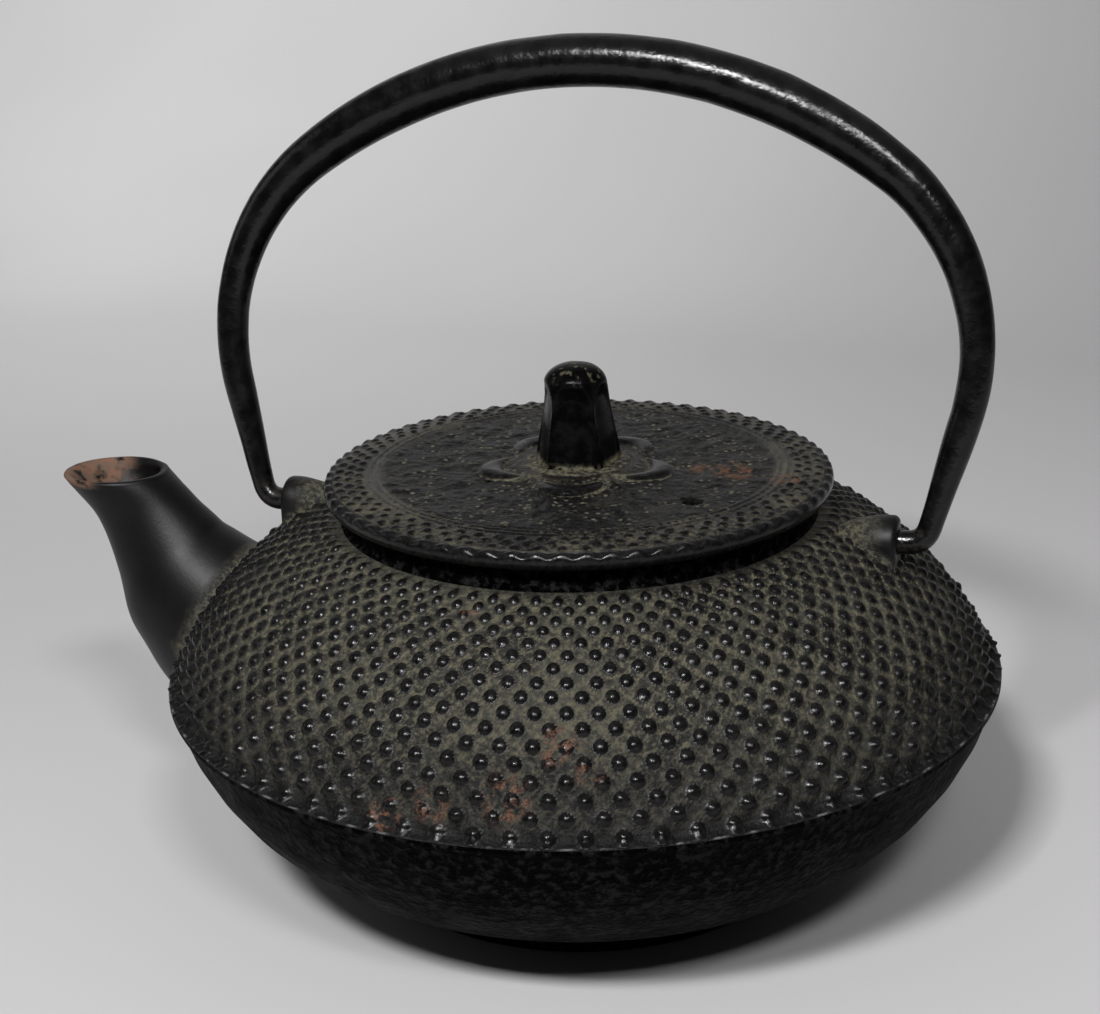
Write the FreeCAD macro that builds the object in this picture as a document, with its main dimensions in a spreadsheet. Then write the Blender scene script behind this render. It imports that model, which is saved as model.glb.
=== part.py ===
import FreeCAD, Part
import math
import os

import Sketcher
from FreeCAD import Placement, Rotation, Vector

# Cast iron teapot with an overhead bail handle and a lift-out strainer basket.
# Millimetres, +Z up, origin at the middle of the base, spout towards -X, bail pivots along X.

# Driving sizes: name, value, what it measures
SIZES = [
    ("foot_radius", 33.0, "flat base disc"),
    ("foot_height", 4.0, "base to the start of the bowl"),
    ("bowl_curve", 35.0, "radius of the lower bowl in section"),
    ("ridge_height", 30.9, "base to the top of the ridge, the widest edge"),
    ("ridge_edge", 0.9, "upright edge of the ridge"),
    ("ridge_lip", 0.6, "step from the ridge in to the lower bowl"),
    ("ridge_reach", 1.4, "shoulder out to the edge of the ridge"),
    ("shoulder_width", 21.6, "neck out to the foot of the shoulder"),
    ("shoulder_rise", 21.4, "ridge up to the neck"),
    ("shoulder_curve", 41.2, "radius of the shoulder in section"),
    ("mouth_radius", 30.0, "opening of the pot"),
    ("ledge_width", 2.0, "mouth out to the edge of the recess for the strainer's rim"),
    ("ledge_depth", 1.0, "depth of that recess"),
    ("collar_wall", 1.5, "collar that carries the lid, outside that recess"),
    ("collar_rise", 4.0, "neck up to the collar's top"),
    ("neck_width", 3.5, "collar out to the top of the shoulder"),
    ("neck_step", 0.7, "rise of the neck between shoulder and collar"),
    ("wall", 3.0, "casting of the pot"),
    ("floor_setback", 3.1, "foot in to the edge of the flat floor inside"),
    ("spout_wall", 2.2, "casting of the spout"),
    ("spout_flatness", 0.82, "spout's width as a share of its depth"),
    ("ear_reach", 8.5, "neck out to the outer face of an ear"),
    ("ear_length", 6.0, "ear along the pivot line"),
    ("ear_radius", 3.6, "rounded top of an ear about the pivot"),
    ("ear_root", 6.0, "pivot down to the ear's root in the shoulder"),
    ("ear_drop", 1.3, "neck down to the pivot line"),
    ("ear_hole_depth", 5.0, "blind hole for a hook of the bail"),
    ("pivot_clearance", 0.08, "hook in its hole, all round"),
    ("bail_rise", 64.4, "pivot line up to the middle of the grip"),
    ("bail_flare", 9.1, "outer face of an ear out to the bail's widest line"),
    ("bail_arch_curve", 70.5, "radius of the grip's arch"),
    ("bail_shoulder_curve", 31.7, "radius of the bend from grip to arm"),
    ("bail_hook_curve", 3.5, "radius of the bend from arm to hook"),
    ("bail_arm_slant", 14.8, "arms towards the ears, degrees"),
    ("bail_lean", 10.1, "bail back from upright, degrees"),
    ("grip_radius", 3.65, "bail's bar along the arch"),
    ("arm_radius", 2.25, "bail's bar at the top of an arm"),
    ("hook_radius", 1.65, "bail's bar at the hooks"),
    ("hook_end_gap", 0.5, "end of a hook to the bottom of its hole"),
    ("lid_overhang", 2.55, "collar out to the edge of the lid"),
    ("lid_thickness", 3.2, "collar's top to the top of the lid"),
    ("lid_plate", 2.7, "lid inside its skirt"),
    ("skirt_depth", 4.0, "skirt below the collar's top"),
    ("skirt_wall", 1.9, "casting of the skirt"),
    ("skirt_clearance", 0.5, "skirt inside the strainer"),
    ("steam_hole_radius", 1.2, "hole in the lid"),
    ("steam_hole_inset", 2.7, "skirt in to the middle of that hole"),
    ("steam_hole_turn", -32.735, "direction of that hole, degrees"),
    ("petal_radius", 5.9, "each petal of the blossom seat"),
    ("petal_reach", 8.6, "middle of the seat to the middle of a petal"),
    ("petal_count", 5, "petals of the seat and flutes of the knob"),
    ("petal_turn", -80.0, "direction of the first petal, degrees"),
    ("seat_thickness", 0.9, "blossom seat"),
    ("knob_foot_radius", 6.3, "flared foot of the knob"),
    ("knob_foot_height", 1.0, "upright edge of that foot"),
    ("knob_waist_radius", 5.8, "bottom of the knob's taper"),
    ("knob_top_radius", 4.3, "top of the knob's taper"),
    ("knob_taper_height", 10.2, "taper"),
    ("knob_dome_height", 2.1, "rounded top"),
    ("flute_radius", 4.6, "round of each flute"),
    ("flute_depth", 0.8, "flute into the knob"),
    ("flute_start", 0.6, "bottom of the taper up to the flutes"),
    ("tang_radius", 1.6, "peg of the knob through the lid"),
    ("tang_clearance", 0.05, "tang in its holes, all round"),
    ("tang_head_radius", 2.6, "peened end of the tang"),
    ("tang_head_height", 1.2, "peened end of the tang"),
    ("washer_radius", 5.0, "washer under the lid"),
    ("washer_thickness", 0.8, "washer under the lid"),
    ("rim_thickness", 0.8, "strainer's rim"),
    ("rim_clearance", 0.3, "strainer's rim inside its recess"),
    ("strainer_clearance", 1.0, "strainer's wall inside the mouth"),
    ("strainer_sheet", 0.6, "strainer's wall"),
    ("strainer_depth", 34.4, "strainer's wall below its rim"),
    ("strainer_base_thickness", 0.8, "strainer's bottom"),
    ("cut_margin", 1.0, "how far a cut runs past the face it leaves by"),
]

# Sections of the spout from its root, inside the bowl, to its mouth, each the half depth of the spout,
# where its middle is from the ridge, out and up, and how far the section leans back, in degrees
SPOUT = [
    ("root", 15.5, -21.0, -4.2, 62.0),
    ("base", 14.7, -0.9, 0.3, 56.0),
    ("belly", 12.2, 5.3, 7.4, 48.0),
    ("bend", 9.4, 9.1, 15.0, 38.0),
    ("mouth", 7.5, 15.8, 22.6, 14.7),
]
for section, radius, out, up, lean in SPOUT:
    SIZES.append(("spout_%s_radius" % section, radius, "half depth of the spout"))
    SIZES.append(("spout_%s_out" % section, out, "ridge out to the middle of this section"))
    SIZES.append(("spout_%s_up" % section, up, "ridge up to the middle of this section"))
    SIZES.append(("spout_%s_lean" % section, lean, "lean of this section, degrees"))

doc = FreeCAD.newDocument("teapot")
sheet = doc.addObject("Spreadsheet::Sheet", "sizes")
for row, (alias, size, meaning) in enumerate(SIZES, 1):
    sheet.set("A%d" % row, alias)
    sheet.set("B%d" % row, str(size))
    sheet.set("C%d" % row, meaning)
    sheet.setAlias("B%d" % row, alias)
doc.recompute()

UPRIGHT = Vector(0, 0, 1)
TOWARDS_FRONT = Vector(0, -1, 0)
ACROSS = Vector(1, 0, 0)

# Heights and radii that several pieces share, as sums of driving sizes
LEDGE_RADIUS = "mouth_radius + ledge_width"
COLLAR_RADIUS = LEDGE_RADIUS + " + collar_wall"
NECK_RADIUS = COLLAR_RADIUS + " + neck_width"
SHOULDER_RADIUS = NECK_RADIUS + " + shoulder_width"
RIDGE_RADIUS = SHOULDER_RADIUS + " + ridge_reach"
NECK_HEIGHT = "ridge_height + shoulder_rise"
COLLAR_TOP = NECK_HEIGHT + " + collar_rise"
LEDGE_HEIGHT = COLLAR_TOP + " - ledge_depth"
PIVOT_HEIGHT = NECK_HEIGHT + " - ear_drop"
EAR_FACE = NECK_RADIUS + " + ear_reach"
LID_TOP = COLLAR_TOP + " + lid_thickness"
SEAT_TOP = LID_TOP + " + seat_thickness"
WASHER_BOTTOM = COLLAR_TOP + " + lid_thickness - lid_plate - washer_thickness"
STRAINER_RADIUS = "mouth_radius - strainer_clearance"
STRAINER_INSIDE = STRAINER_RADIUS + " - strainer_sheet"
STRAINER_BOTTOM = LEDGE_HEIGHT + " - strainer_depth"
BASE_BOTTOM = STRAINER_BOTTOM + " - strainer_base_thickness"
RIM_RADIUS = LEDGE_RADIUS + " - rim_clearance"
SKIRT_RADIUS = STRAINER_INSIDE + " - skirt_clearance"
TANG_HOLE = "tang_radius + tang_clearance"


def terms(text):
    """Sign and word of each term in a sum of size names and numbers, such as "mouth_radius - wall"."""
    found = []
    sign = 1
    for word in text.split():
        if word in ("+", "-"):
            sign = 1 if word == "+" else -1
        else:
            found.append((sign, word))
            sign = 1
    return found


def value(text):
    """What a sum of size names comes to. A number stands for itself."""
    if isinstance(text, float):
        return text
    return sum(sign * (float(word) if word[0].isdigit() else sheet.get(word)) for sign, word in terms(text))


def bound(text):
    """The same sum as an expression that reads the sheet."""
    words = [("+" if sign > 0 else "-", word if word[0].isdigit() else "sizes." + word)
             for sign, word in terms(text)]
    return " ".join("%s %s" % pair for pair in words).removeprefix("+ ")


def new_body(label, height="0"):
    """A body whose own origin is at the given height."""
    body = doc.addObject("PartDesign::Body", label)
    body.Label = label
    body.setExpression("Placement.Base.z", bound(height))
    return body


def origin_feature(body, role):
    return next(item for item in body.Origin.OriginFeatures if item.Role == role)


def new_sketch(body, name, plane, offset=None):
    """A sketch on one of its body's origin planes."""
    sketch = body.newObject("Sketcher::SketchObject", name)
    sketch.AttachmentSupport = [(origin_feature(body, plane), "")]
    sketch.MapMode = "FlatFace"
    if offset:
        sketch.AttachmentOffset = offset
    return sketch


def turned_sketch(body, name, turn):
    """A level sketch whose x axis points in a direction, an angle in the sheet."""
    sketch = new_sketch(body, name, "XY_Plane", Placement(Vector(), Rotation(UPRIGHT, 1)))
    sketch.setExpression("AttachmentOffset.Rotation.Angle", "sizes." + turn)
    return sketch


def place_point(sketch, edge, end, x_sum, y_sum):
    """Ties an edge's end to the sums that give its place. Where a number stands for a sum, it is left free."""
    for kind, axis, text in (("DistanceX", -2, x_sum), ("DistanceY", -1, y_sum)):
        if isinstance(text, float):
            continue
        if text == "0":
            sketch.addConstraint(Sketcher.Constraint("PointOnObject", edge, end, axis))
        else:
            index = sketch.addConstraint(Sketcher.Constraint(kind, -1, 1, edge, end, value(text)))
            sketch.setExpression("Constraints[%d]" % index, bound(text))


def corner_point(corner):
    x_sum, y_sum = corner
    return Vector(value(x_sum), value(y_sum), 0)


def arc_middle(start, end, radius, bulge):
    """Middle of an arc from start to end. bulge is +1 if it swells to the right of that way, or -1."""
    chord = end - start
    across = Vector(chord.y, -chord.x, 0).normalize() * bulge
    return (start + end) / 2 - across * math.sqrt(radius**2 - (chord.Length / 2)**2)


def new_edge(sketch, start, end, radius_sum=None, bulge=1, guide=False):
    """Line, or arc of a radius, and which of its two ends is the start. A guide is only construction."""
    if radius_sum is None:
        edge = sketch.addGeometry(Part.LineSegment(start, end), guide)
    else:
        radius = value(radius_sum)
        middle = arc_middle(start, end, radius, bulge)
        crown = middle + ((start + end) / 2 - middle).normalize() * radius
        edge = sketch.addGeometry(Part.Arc(start, crown, end), guide)
        index = sketch.addConstraint(Sketcher.Constraint("Radius", edge, radius))
        sketch.setExpression("Constraints[%d]" % index, bound(radius_sum))
    first = 1 if sketch.getPoint(edge, 1).distanceToPoint(start) < 1e-6 else 2
    return edge, first


def guide_arc(sketch, start_corner, end_corner, radius_sum):
    """Construction arc between two corners, for other arcs to share its middle."""
    start, end = corner_point(start_corner), corner_point(end_corner)
    edge, first = new_edge(sketch, start, end, radius_sum, guide=True)
    place_point(sketch, edge, first, *start_corner)
    place_point(sketch, edge, 3 - first, *end_corner)
    return edge, arc_middle(start, end, value(radius_sum), 1)


def outline(sketch, corners, curves=None, level=()):
    """Closed outline through corners, each an x sum and a y sum. curves gives the radius sum of the edge
    after a corner, its bulge and, for an arc that keeps another one's middle, that guide arc. level lists
    the edges that are kept level."""
    curves = curves or {}
    points = [corner_point(corner) for corner in corners]
    ends = []
    for i, start in enumerate(points):
        radius_sum, bulge, guide = curves.get(i, (None, 1, None))
        edge, first = new_edge(sketch, start, points[(i + 1) % len(points)], radius_sum, bulge)
        if guide is not None:
            sketch.addConstraint(Sketcher.Constraint("Coincident", edge, 3, guide, 3))
        ends.append((edge, first, 3 - first))
    for i, (edge, first, last) in enumerate(ends):
        following, following_first, _ = ends[(i + 1) % len(ends)]
        sketch.addConstraint(Sketcher.Constraint("Coincident", edge, last, following, following_first))
        place_point(sketch, edge, first, *corners[i])
    for i in level:
        sketch.addConstraint(Sketcher.Constraint("Horizontal", ends[i][0]))
    return sketch


def circle(sketch, radius_sum, x_sum="0", y_sum="0"):
    """Circle in a sketch, tied to its radius and place."""
    middle = Vector(value(x_sum), value(y_sum), 0)
    edge = sketch.addGeometry(Part.Circle(middle, UPRIGHT, value(radius_sum)), False)
    index = sketch.addConstraint(Sketcher.Constraint("Radius", edge, value(radius_sum)))
    sketch.setExpression("Constraints[%d]" % index, bound(radius_sum))
    place_point(sketch, edge, 3, x_sum, y_sum)
    return sketch


def ellipse(sketch, half_depth, half_width):
    """Ellipse about the sketch's origin, deep along its x axis. Both halves are a value and an expression."""
    depth, depth_text = half_depth
    width, width_text = half_width
    edge = sketch.addGeometry(Part.Ellipse(Vector(depth, 0, 0), Vector(0, width, 0), Vector(0, 0, 0)), False)
    sketch.exposeInternalGeometry(edge)
    major, minor = edge + 1, edge + 2
    sketch.addConstraint(Sketcher.Constraint("Coincident", edge, 3, -1, 1))
    sketch.addConstraint(Sketcher.Constraint("Parallel", major, -1))
    for line, size, text in ((major, depth, depth_text), (minor, width, width_text)):
        index = sketch.addConstraint(Sketcher.Constraint("Distance", line, 2 * size))
        sketch.setExpression("Constraints[%d]" % index, "2 * (%s)" % text)
    return sketch


def turned(body, kind, name, sketch):
    """Revolution or groove of a sketch, once round the body's upright axis."""
    feature = body.newObject("PartDesign::" + kind, name)
    feature.Profile = sketch
    feature.ReferenceAxis = (sketch, ["V_Axis"])
    feature.Angle = 360
    return feature


def padded(body, kind, name, sketch, length_sum, reverse=False):
    """Pad or pocket of a sketch."""
    feature = body.newObject("PartDesign::" + kind, name)
    feature.Profile = sketch
    feature.Reversed = reverse
    feature.setExpression("Length", bound(length_sum))
    return feature


def patterned(body, name, feature):
    """Copies of a feature for every petal, about the body's upright axis."""
    pattern = body.newObject("PartDesign::PolarPattern", name)
    pattern.Originals = [feature]
    pattern.Axis = (origin_feature(body, "Z_Axis"), [""])
    pattern.Angle = 360
    pattern.setExpression("Occurrences", "sizes.petal_count")
    body.Tip = pattern
    return pattern


def mirrored(body, name, feature):
    """Copy of a feature on the other side of the plane across the pivot line."""
    mirror = body.newObject("PartDesign::Mirrored", name)
    mirror.Originals = [feature]
    mirror.MirrorPlane = (origin_feature(body, "YZ_Plane"), [""])
    body.Tip = mirror
    return mirror


def spout_section(body, name, section, wall="0", past="0"):
    """Oval section of the spout, thinner by a wall all round and moved past its place along the spout."""
    prefix = "spout_%s_" % section
    sketch = new_sketch(body, name, "XY_Plane", Placement(Vector(), Rotation(TOWARDS_FRONT, 1)))
    lean = "sizes.%slean" % prefix
    out = bound(RIDGE_RADIUS + " + " + prefix + "out")
    up = bound("ridge_height + " + prefix + "up")
    sketch.setExpression("AttachmentOffset.Base.x", "-(%s) - %s * sin(%s * 1 deg)" % (out, bound(past), lean))
    sketch.setExpression("AttachmentOffset.Base.z", "%s + %s * cos(%s * 1 deg)" % (up, bound(past), lean))
    sketch.setExpression("AttachmentOffset.Rotation.Angle", lean)
    depth = (value(prefix + "radius - " + wall), bound(prefix + "radius - " + wall))
    flat_depth = value(prefix + "radius") * value("spout_flatness")
    flat_text = "%s * sizes.spout_flatness - %s" % (bound(prefix + "radius"), bound(wall))
    return ellipse(sketch, depth, (flat_depth - value(wall), flat_text))


def lofted(body, kind, name, sketches):
    """Loft through sketches, in order."""
    loft = body.newObject("PartDesign::" + kind, name)
    loft.Profile = sketches[0]
    loft.Sections = sketches[1:]
    return loft


def make_pot():
    """The pot: bowl, shoulder and collar, with its spout and the two ears cast on."""
    body = new_body("pot_body")
    bowl_foot = ("foot_radius", "foot_height")
    bowl_top = (RIDGE_RADIUS + " - ridge_lip", "ridge_height - ridge_edge - ridge_lip")
    shoulder_foot = (SHOULDER_RADIUS, "ridge_height")
    neck = (NECK_RADIUS, NECK_HEIGHT)
    outside = outline(
        new_sketch(body, "pot_outside", "XZ_Plane"),
        [
            ("0", "0"),
            ("foot_radius", "0"),
            bowl_foot,
            bowl_top,
            (RIDGE_RADIUS, "ridge_height - ridge_edge"),
            (RIDGE_RADIUS, "ridge_height"),
            shoulder_foot,
            neck,
            (COLLAR_RADIUS, NECK_HEIGHT + " + neck_step"),
            (COLLAR_RADIUS, COLLAR_TOP),
            ("0", COLLAR_TOP),
        ],
        {2: ("bowl_curve", 1, None), 6: ("shoulder_curve", 1, None)},
    )
    turned(body, "Revolution", "pot_solid", outside)

    sections = [spout_section(body, "spout_" + name, name) for name, *_ in SPOUT]
    lofted(body, "AdditiveLoft", "spout_outside", sections)

    ear = new_sketch(body, "ear_outline", "YZ_Plane")
    ear.setExpression("AttachmentOffset.Base.z", bound(EAR_FACE))
    outline(
        ear,
        [
            ("ear_radius", PIVOT_HEIGHT),
            ("0", PIVOT_HEIGHT + " + ear_radius"),
            ("- ear_radius", PIVOT_HEIGHT),
            ("- ear_radius", PIVOT_HEIGHT + " - ear_root"),
            ("ear_radius", PIVOT_HEIGHT + " - ear_root"),
        ],
        {0: ("ear_radius", 1, None), 1: ("ear_radius", 1, None)},
    )
    mirrored(body, "ears", padded(body, "Pad", "ear", ear, "ear_length", reverse=True))

    inside = new_sketch(body, "pot_inside", "XZ_Plane")
    bowl_guide, bowl_middle = guide_arc(inside, bowl_foot, bowl_top, "bowl_curve")
    shoulder_guide, shoulder_middle = guide_arc(inside, shoulder_foot, neck, "shoulder_curve")
    bowl_inside = Part.Circle(bowl_middle, UPRIGHT, value("bowl_curve - wall"))
    shoulder_inside = Part.Circle(shoulder_middle, UPRIGHT, value("shoulder_curve - wall"))
    widest = max((point.X, point.Y) for point in bowl_inside.intersect(shoulder_inside))
    floor_reach = value("foot_radius - floor_setback") - bowl_middle.x
    floor = bowl_middle.y - math.sqrt(bowl_inside.Radius**2 - floor_reach**2)
    throat_reach = value("mouth_radius") - shoulder_middle.x
    throat = shoulder_middle.y + math.sqrt(shoulder_inside.Radius**2 - throat_reach**2)
    outline(
        inside,
        [
            ("0", floor),
            ("foot_radius - floor_setback", floor),
            widest,
            ("mouth_radius", throat),
            ("mouth_radius", LEDGE_HEIGHT),
            (LEDGE_RADIUS, LEDGE_HEIGHT),
            (LEDGE_RADIUS, COLLAR_TOP + " + cut_margin"),
            ("0", COLLAR_TOP + " + cut_margin"),
        ],
        {1: ("bowl_curve - wall", 1, bowl_guide), 2: ("shoulder_curve - wall", 1, shoulder_guide)},
        level=[0],
    )
    turned(body, "Groove", "cavity", inside)

    bore = []
    for name, *_ in SPOUT:
        past = "cut_margin" if name == "mouth" else "0"
        bore.append(spout_section(body, "bore_" + name, name, "spout_wall", past))
    lofted(body, "SubtractiveLoft", "spout_bore", bore)

    hole = new_sketch(body, "ear_hole_outline", "YZ_Plane")
    hole.setExpression("AttachmentOffset.Base.z", bound(EAR_FACE))
    circle(hole, "hook_radius + pivot_clearance", "0", PIVOT_HEIGHT)
    mirrored(body, "ear_holes", padded(body, "Pocket", "ear_hole", hole, "ear_hole_depth"))
    return body


def make_lid():
    """The lid: a disc on the collar, with a skirt that keeps it in place, a steam hole and a tang hole."""
    body = new_body("lid", COLLAR_TOP)
    section = outline(
        new_sketch(body, "lid_section", "XZ_Plane"),
        [
            ("0", "lid_thickness"),
            (COLLAR_RADIUS + " + lid_overhang", "lid_thickness"),
            (COLLAR_RADIUS + " + lid_overhang", "0"),
            (SKIRT_RADIUS, "0"),
            (SKIRT_RADIUS, "- skirt_depth"),
            (SKIRT_RADIUS + " - skirt_wall", "- skirt_depth"),
            (SKIRT_RADIUS + " - skirt_wall", "lid_thickness - lid_plate"),
            ("0", "lid_thickness - lid_plate"),
        ],
    )
    turned(body, "Revolution", "lid_disc", section)
    holes = turned_sketch(body, "lid_holes", "steam_hole_turn")
    holes.setExpression("AttachmentOffset.Base.z", bound("lid_thickness"))
    circle(holes, TANG_HOLE)
    circle(holes, "steam_hole_radius", SKIRT_RADIUS + " - skirt_wall - steam_hole_inset")
    padded(body, "Pocket", "lid_holes_cut", holes, "lid_thickness")
    return body


def make_knob_seat():
    """Washer between knob and lid: five round petals about a middle disc."""
    body = new_body("knob_seat", LID_TOP)
    middle = circle(new_sketch(body, "seat_middle", "XY_Plane"), "petal_reach")
    padded(body, "Pad", "seat_disc", middle, "seat_thickness")
    first = circle(turned_sketch(body, "petal_outline", "petal_turn"), "petal_radius", "petal_reach")
    patterned(body, "petals", padded(body, "Pad", "petal", first, "seat_thickness"))
    hole = new_sketch(body, "seat_hole_outline", "XY_Plane")
    hole.setExpression("AttachmentOffset.Base.z", bound("seat_thickness"))
    padded(body, "Pocket", "seat_hole", circle(hole, TANG_HOLE), "seat_thickness")
    return body


def make_knob():
    """Fluted peg on the seat. Its tang goes down through seat, lid and washer, and is peened over below."""
    body = new_body("knob", SEAT_TOP)
    tang_end = "- seat_thickness - lid_plate - washer_thickness"
    taper_foot = "knob_foot_height + knob_foot_radius - knob_waist_radius"
    taper_top = taper_foot + " + knob_taper_height"
    section = outline(
        new_sketch(body, "knob_section", "XZ_Plane"),
        [
            ("0", taper_top + " + knob_dome_height"),
            ("knob_top_radius", taper_top),
            ("knob_waist_radius", taper_foot),
            ("knob_foot_radius", "knob_foot_height"),
            ("knob_foot_radius", "0"),
            ("tang_radius", "0"),
            ("tang_radius", tang_end),
            ("tang_head_radius", tang_end),
            ("tang_head_radius", tang_end + " - tang_head_height"),
            ("0", tang_end + " - tang_head_height"),
        ],
        {0: ("knob_top_radius + knob_dome_height", -1, None)},
    )
    turned(body, "Revolution", "knob_peg", section)
    narrowing = math.atan2(value("knob_waist_radius - knob_top_radius"), value("knob_taper_height"))
    taper = Rotation(TOWARDS_FRONT, math.degrees(narrowing))
    turn = Rotation(UPRIGHT, value("petal_turn"))
    flute = new_sketch(body, "flute_outline", "XY_Plane", Placement(Vector(), turn * taper))
    flute.setExpression("AttachmentOffset.Base.z", bound(taper_foot + " + flute_start"))
    circle(flute, "flute_radius", "knob_waist_radius + flute_radius - flute_depth")
    patterned(body, "flutes", padded(body, "Pocket", "flute", flute, taper_top, reverse=True))
    return body


def make_ring(label, height, inner_sum, outer_sum, thickness_sum):
    """Flat ring or tube that stands up from a height, or a disc where the inner radius is "0"."""
    body = new_body(label, height)
    section = outline(
        new_sketch(body, label + "_section", "XZ_Plane"),
        [(inner_sum, "0"), (outer_sum, "0"), (outer_sum, thickness_sum), (inner_sum, thickness_sum)],
    )
    turned(body, "Revolution", label + "_ring", section)
    return body


def tapered_bar(edge, start_radius, end_radius):
    """Round bar along an edge, from one radius to another."""
    pipe = Part.BRepOffsetAPI.MakePipeShell(Part.Wire([edge]))
    for parameter, radius in ((edge.FirstParameter, start_radius), (edge.LastParameter, end_radius)):
        section = Part.Circle(edge.valueAt(parameter), edge.tangentAt(parameter), radius)
        pipe.add(Part.Wire([section.toShape()]))
    pipe.build()
    pipe.makeSolid()
    return pipe.shape()


def make_bail():
    """Bail handle: an arch, two bends, two slanted arms and two hooks, as one bar that thins to its ends."""
    arch = value("bail_arch_curve")
    bend = value("bail_shoulder_curve")
    hook = value("bail_hook_curve")
    widest = value(EAR_FACE + " + bail_flare")
    slant = math.radians(value("bail_arm_slant"))
    arch_turn = math.asin((widest - bend) / (arch - bend))
    arch_middle = Vector(0, 0, value("bail_rise") - arch)
    bend_middle = arch_middle + Vector(math.sin(arch_turn), 0, math.cos(arch_turn)) * (arch - bend)

    def on_circle(middle, radius, angle):
        """Point at an angle from upright towards +X."""
        return middle + Vector(math.sin(angle), 0, math.cos(angle)) * radius

    def bend_edge(middle, radius, first, last):
        stops = (first, (first + last) / 2, last)
        return Part.Arc(*[on_circle(middle, radius, angle) for angle in stops]).toShape()

    arm_angle = math.pi / 2 + slant
    arm_top = on_circle(bend_middle, bend, arm_angle)
    down = Vector(-math.sin(slant), 0, -math.cos(slant))
    corner = arm_top + down * (arm_top.z / math.cos(slant))
    hook_reach = hook * math.tan((math.pi / 2 - slant) / 2)
    arm_end = corner - down * hook_reach
    hook_middle = corner + Vector(-hook_reach, 0, hook)
    hook_start = Vector(corner.x - hook_reach, 0, 0)
    hook_end = Vector(value(EAR_FACE + " - ear_hole_depth + hook_end_gap"), 0, 0)
    grip_radius = value("grip_radius")
    arm_radius = value("arm_radius")
    hook_radius = value("hook_radius")
    half = [
        tapered_bar(bend_edge(arch_middle, arch, 0, arch_turn), grip_radius, grip_radius),
        tapered_bar(bend_edge(bend_middle, bend, arch_turn, arm_angle), grip_radius, arm_radius),
        tapered_bar(Part.LineSegment(arm_top, arm_end).toShape(), arm_radius, hook_radius),
        tapered_bar(bend_edge(hook_middle, hook, arm_angle, math.pi), hook_radius, hook_radius),
        tapered_bar(Part.LineSegment(hook_start, hook_end).toShape(), hook_radius, hook_radius),
    ]
    bars = half + [bar.mirror(Vector(), ACROSS) for bar in half]
    bail = doc.addObject("Part::Feature", "bail_handle")
    bail.Label = "bail_handle"
    bail.Shape = bars[0].fuse(bars[1:]).removeSplitter()
    lean = Rotation(ACROSS, -value("bail_lean"))
    bail.Placement = Placement(Vector(0, 0, value(PIVOT_HEIGHT)), lean)
    return bail


parts = [
    make_pot(),
    make_bail(),
    make_lid(),
    make_knob_seat(),
    make_knob(),
    make_ring("knob_washer", WASHER_BOTTOM, TANG_HOLE, "washer_radius", "washer_thickness"),
    make_ring("infuser_rim", LEDGE_HEIGHT, STRAINER_INSIDE, RIM_RADIUS, "rim_thickness"),
    make_ring("infuser_wall", STRAINER_BOTTOM, STRAINER_INSIDE, STRAINER_RADIUS, "strainer_depth"),
    make_ring("infuser_base", BASE_BOTTOM, "0", STRAINER_RADIUS, "strainer_base_thickness"),
]
doc.recompute()

for item in doc.Objects:
    if "Invalid" in item.State or "Error" in item.State:
        raise RuntimeError("%s failed: %s" % (item.Label, item.State))
for part in parts:
    if part.Shape.isNull() or not part.Shape.isValid() or len(part.Shape.Solids) != 1:
        raise RuntimeError("%s is not one sound solid" % part.Label)

os.makedirs("parts", exist_ok=True)
for part in parts:
    part.Shape.exportStep("parts/%s.step" % part.Label)
    print("%s: %.1f mm3" % (part.Label, part.Shape.Volume))
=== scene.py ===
"""Looks of a small cast iron teapot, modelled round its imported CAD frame.

Lengths are in millimetres and angles in degrees until a mesh or a node is made.
The pot's axis is Z, the spout points to -X, the front is -Y and the table is at height 0.
"""

import itertools
import math

import bmesh
import bpy
import numpy as np
from mathutils import Matrix, Vector

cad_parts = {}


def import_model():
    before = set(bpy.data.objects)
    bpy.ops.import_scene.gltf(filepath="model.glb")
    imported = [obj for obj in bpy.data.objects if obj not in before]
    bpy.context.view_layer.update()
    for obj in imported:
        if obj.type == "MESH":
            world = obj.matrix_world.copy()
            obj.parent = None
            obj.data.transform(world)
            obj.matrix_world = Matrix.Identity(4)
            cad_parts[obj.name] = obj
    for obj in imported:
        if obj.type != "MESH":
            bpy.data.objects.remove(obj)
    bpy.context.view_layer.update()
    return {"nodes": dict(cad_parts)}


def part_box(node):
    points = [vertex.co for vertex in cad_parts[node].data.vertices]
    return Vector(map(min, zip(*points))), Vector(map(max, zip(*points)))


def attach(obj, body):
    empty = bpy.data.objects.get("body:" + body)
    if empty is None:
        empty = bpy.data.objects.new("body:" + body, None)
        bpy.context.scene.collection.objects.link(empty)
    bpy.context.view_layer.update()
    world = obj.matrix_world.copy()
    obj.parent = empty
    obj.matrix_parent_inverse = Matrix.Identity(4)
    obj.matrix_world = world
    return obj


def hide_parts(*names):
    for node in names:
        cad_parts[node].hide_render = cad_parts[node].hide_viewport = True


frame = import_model()

MM = 0.001
FULL_TURN = 2 * math.pi
TINY = 1e-9
rng = np.random.default_rng(7)

# Numbers that scramble the corners of a random grid
HASH_AXES = (73856093, 19349663, 83492791)
HASH_SEED = 15485863
HASH_MIX = 2654435761

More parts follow.
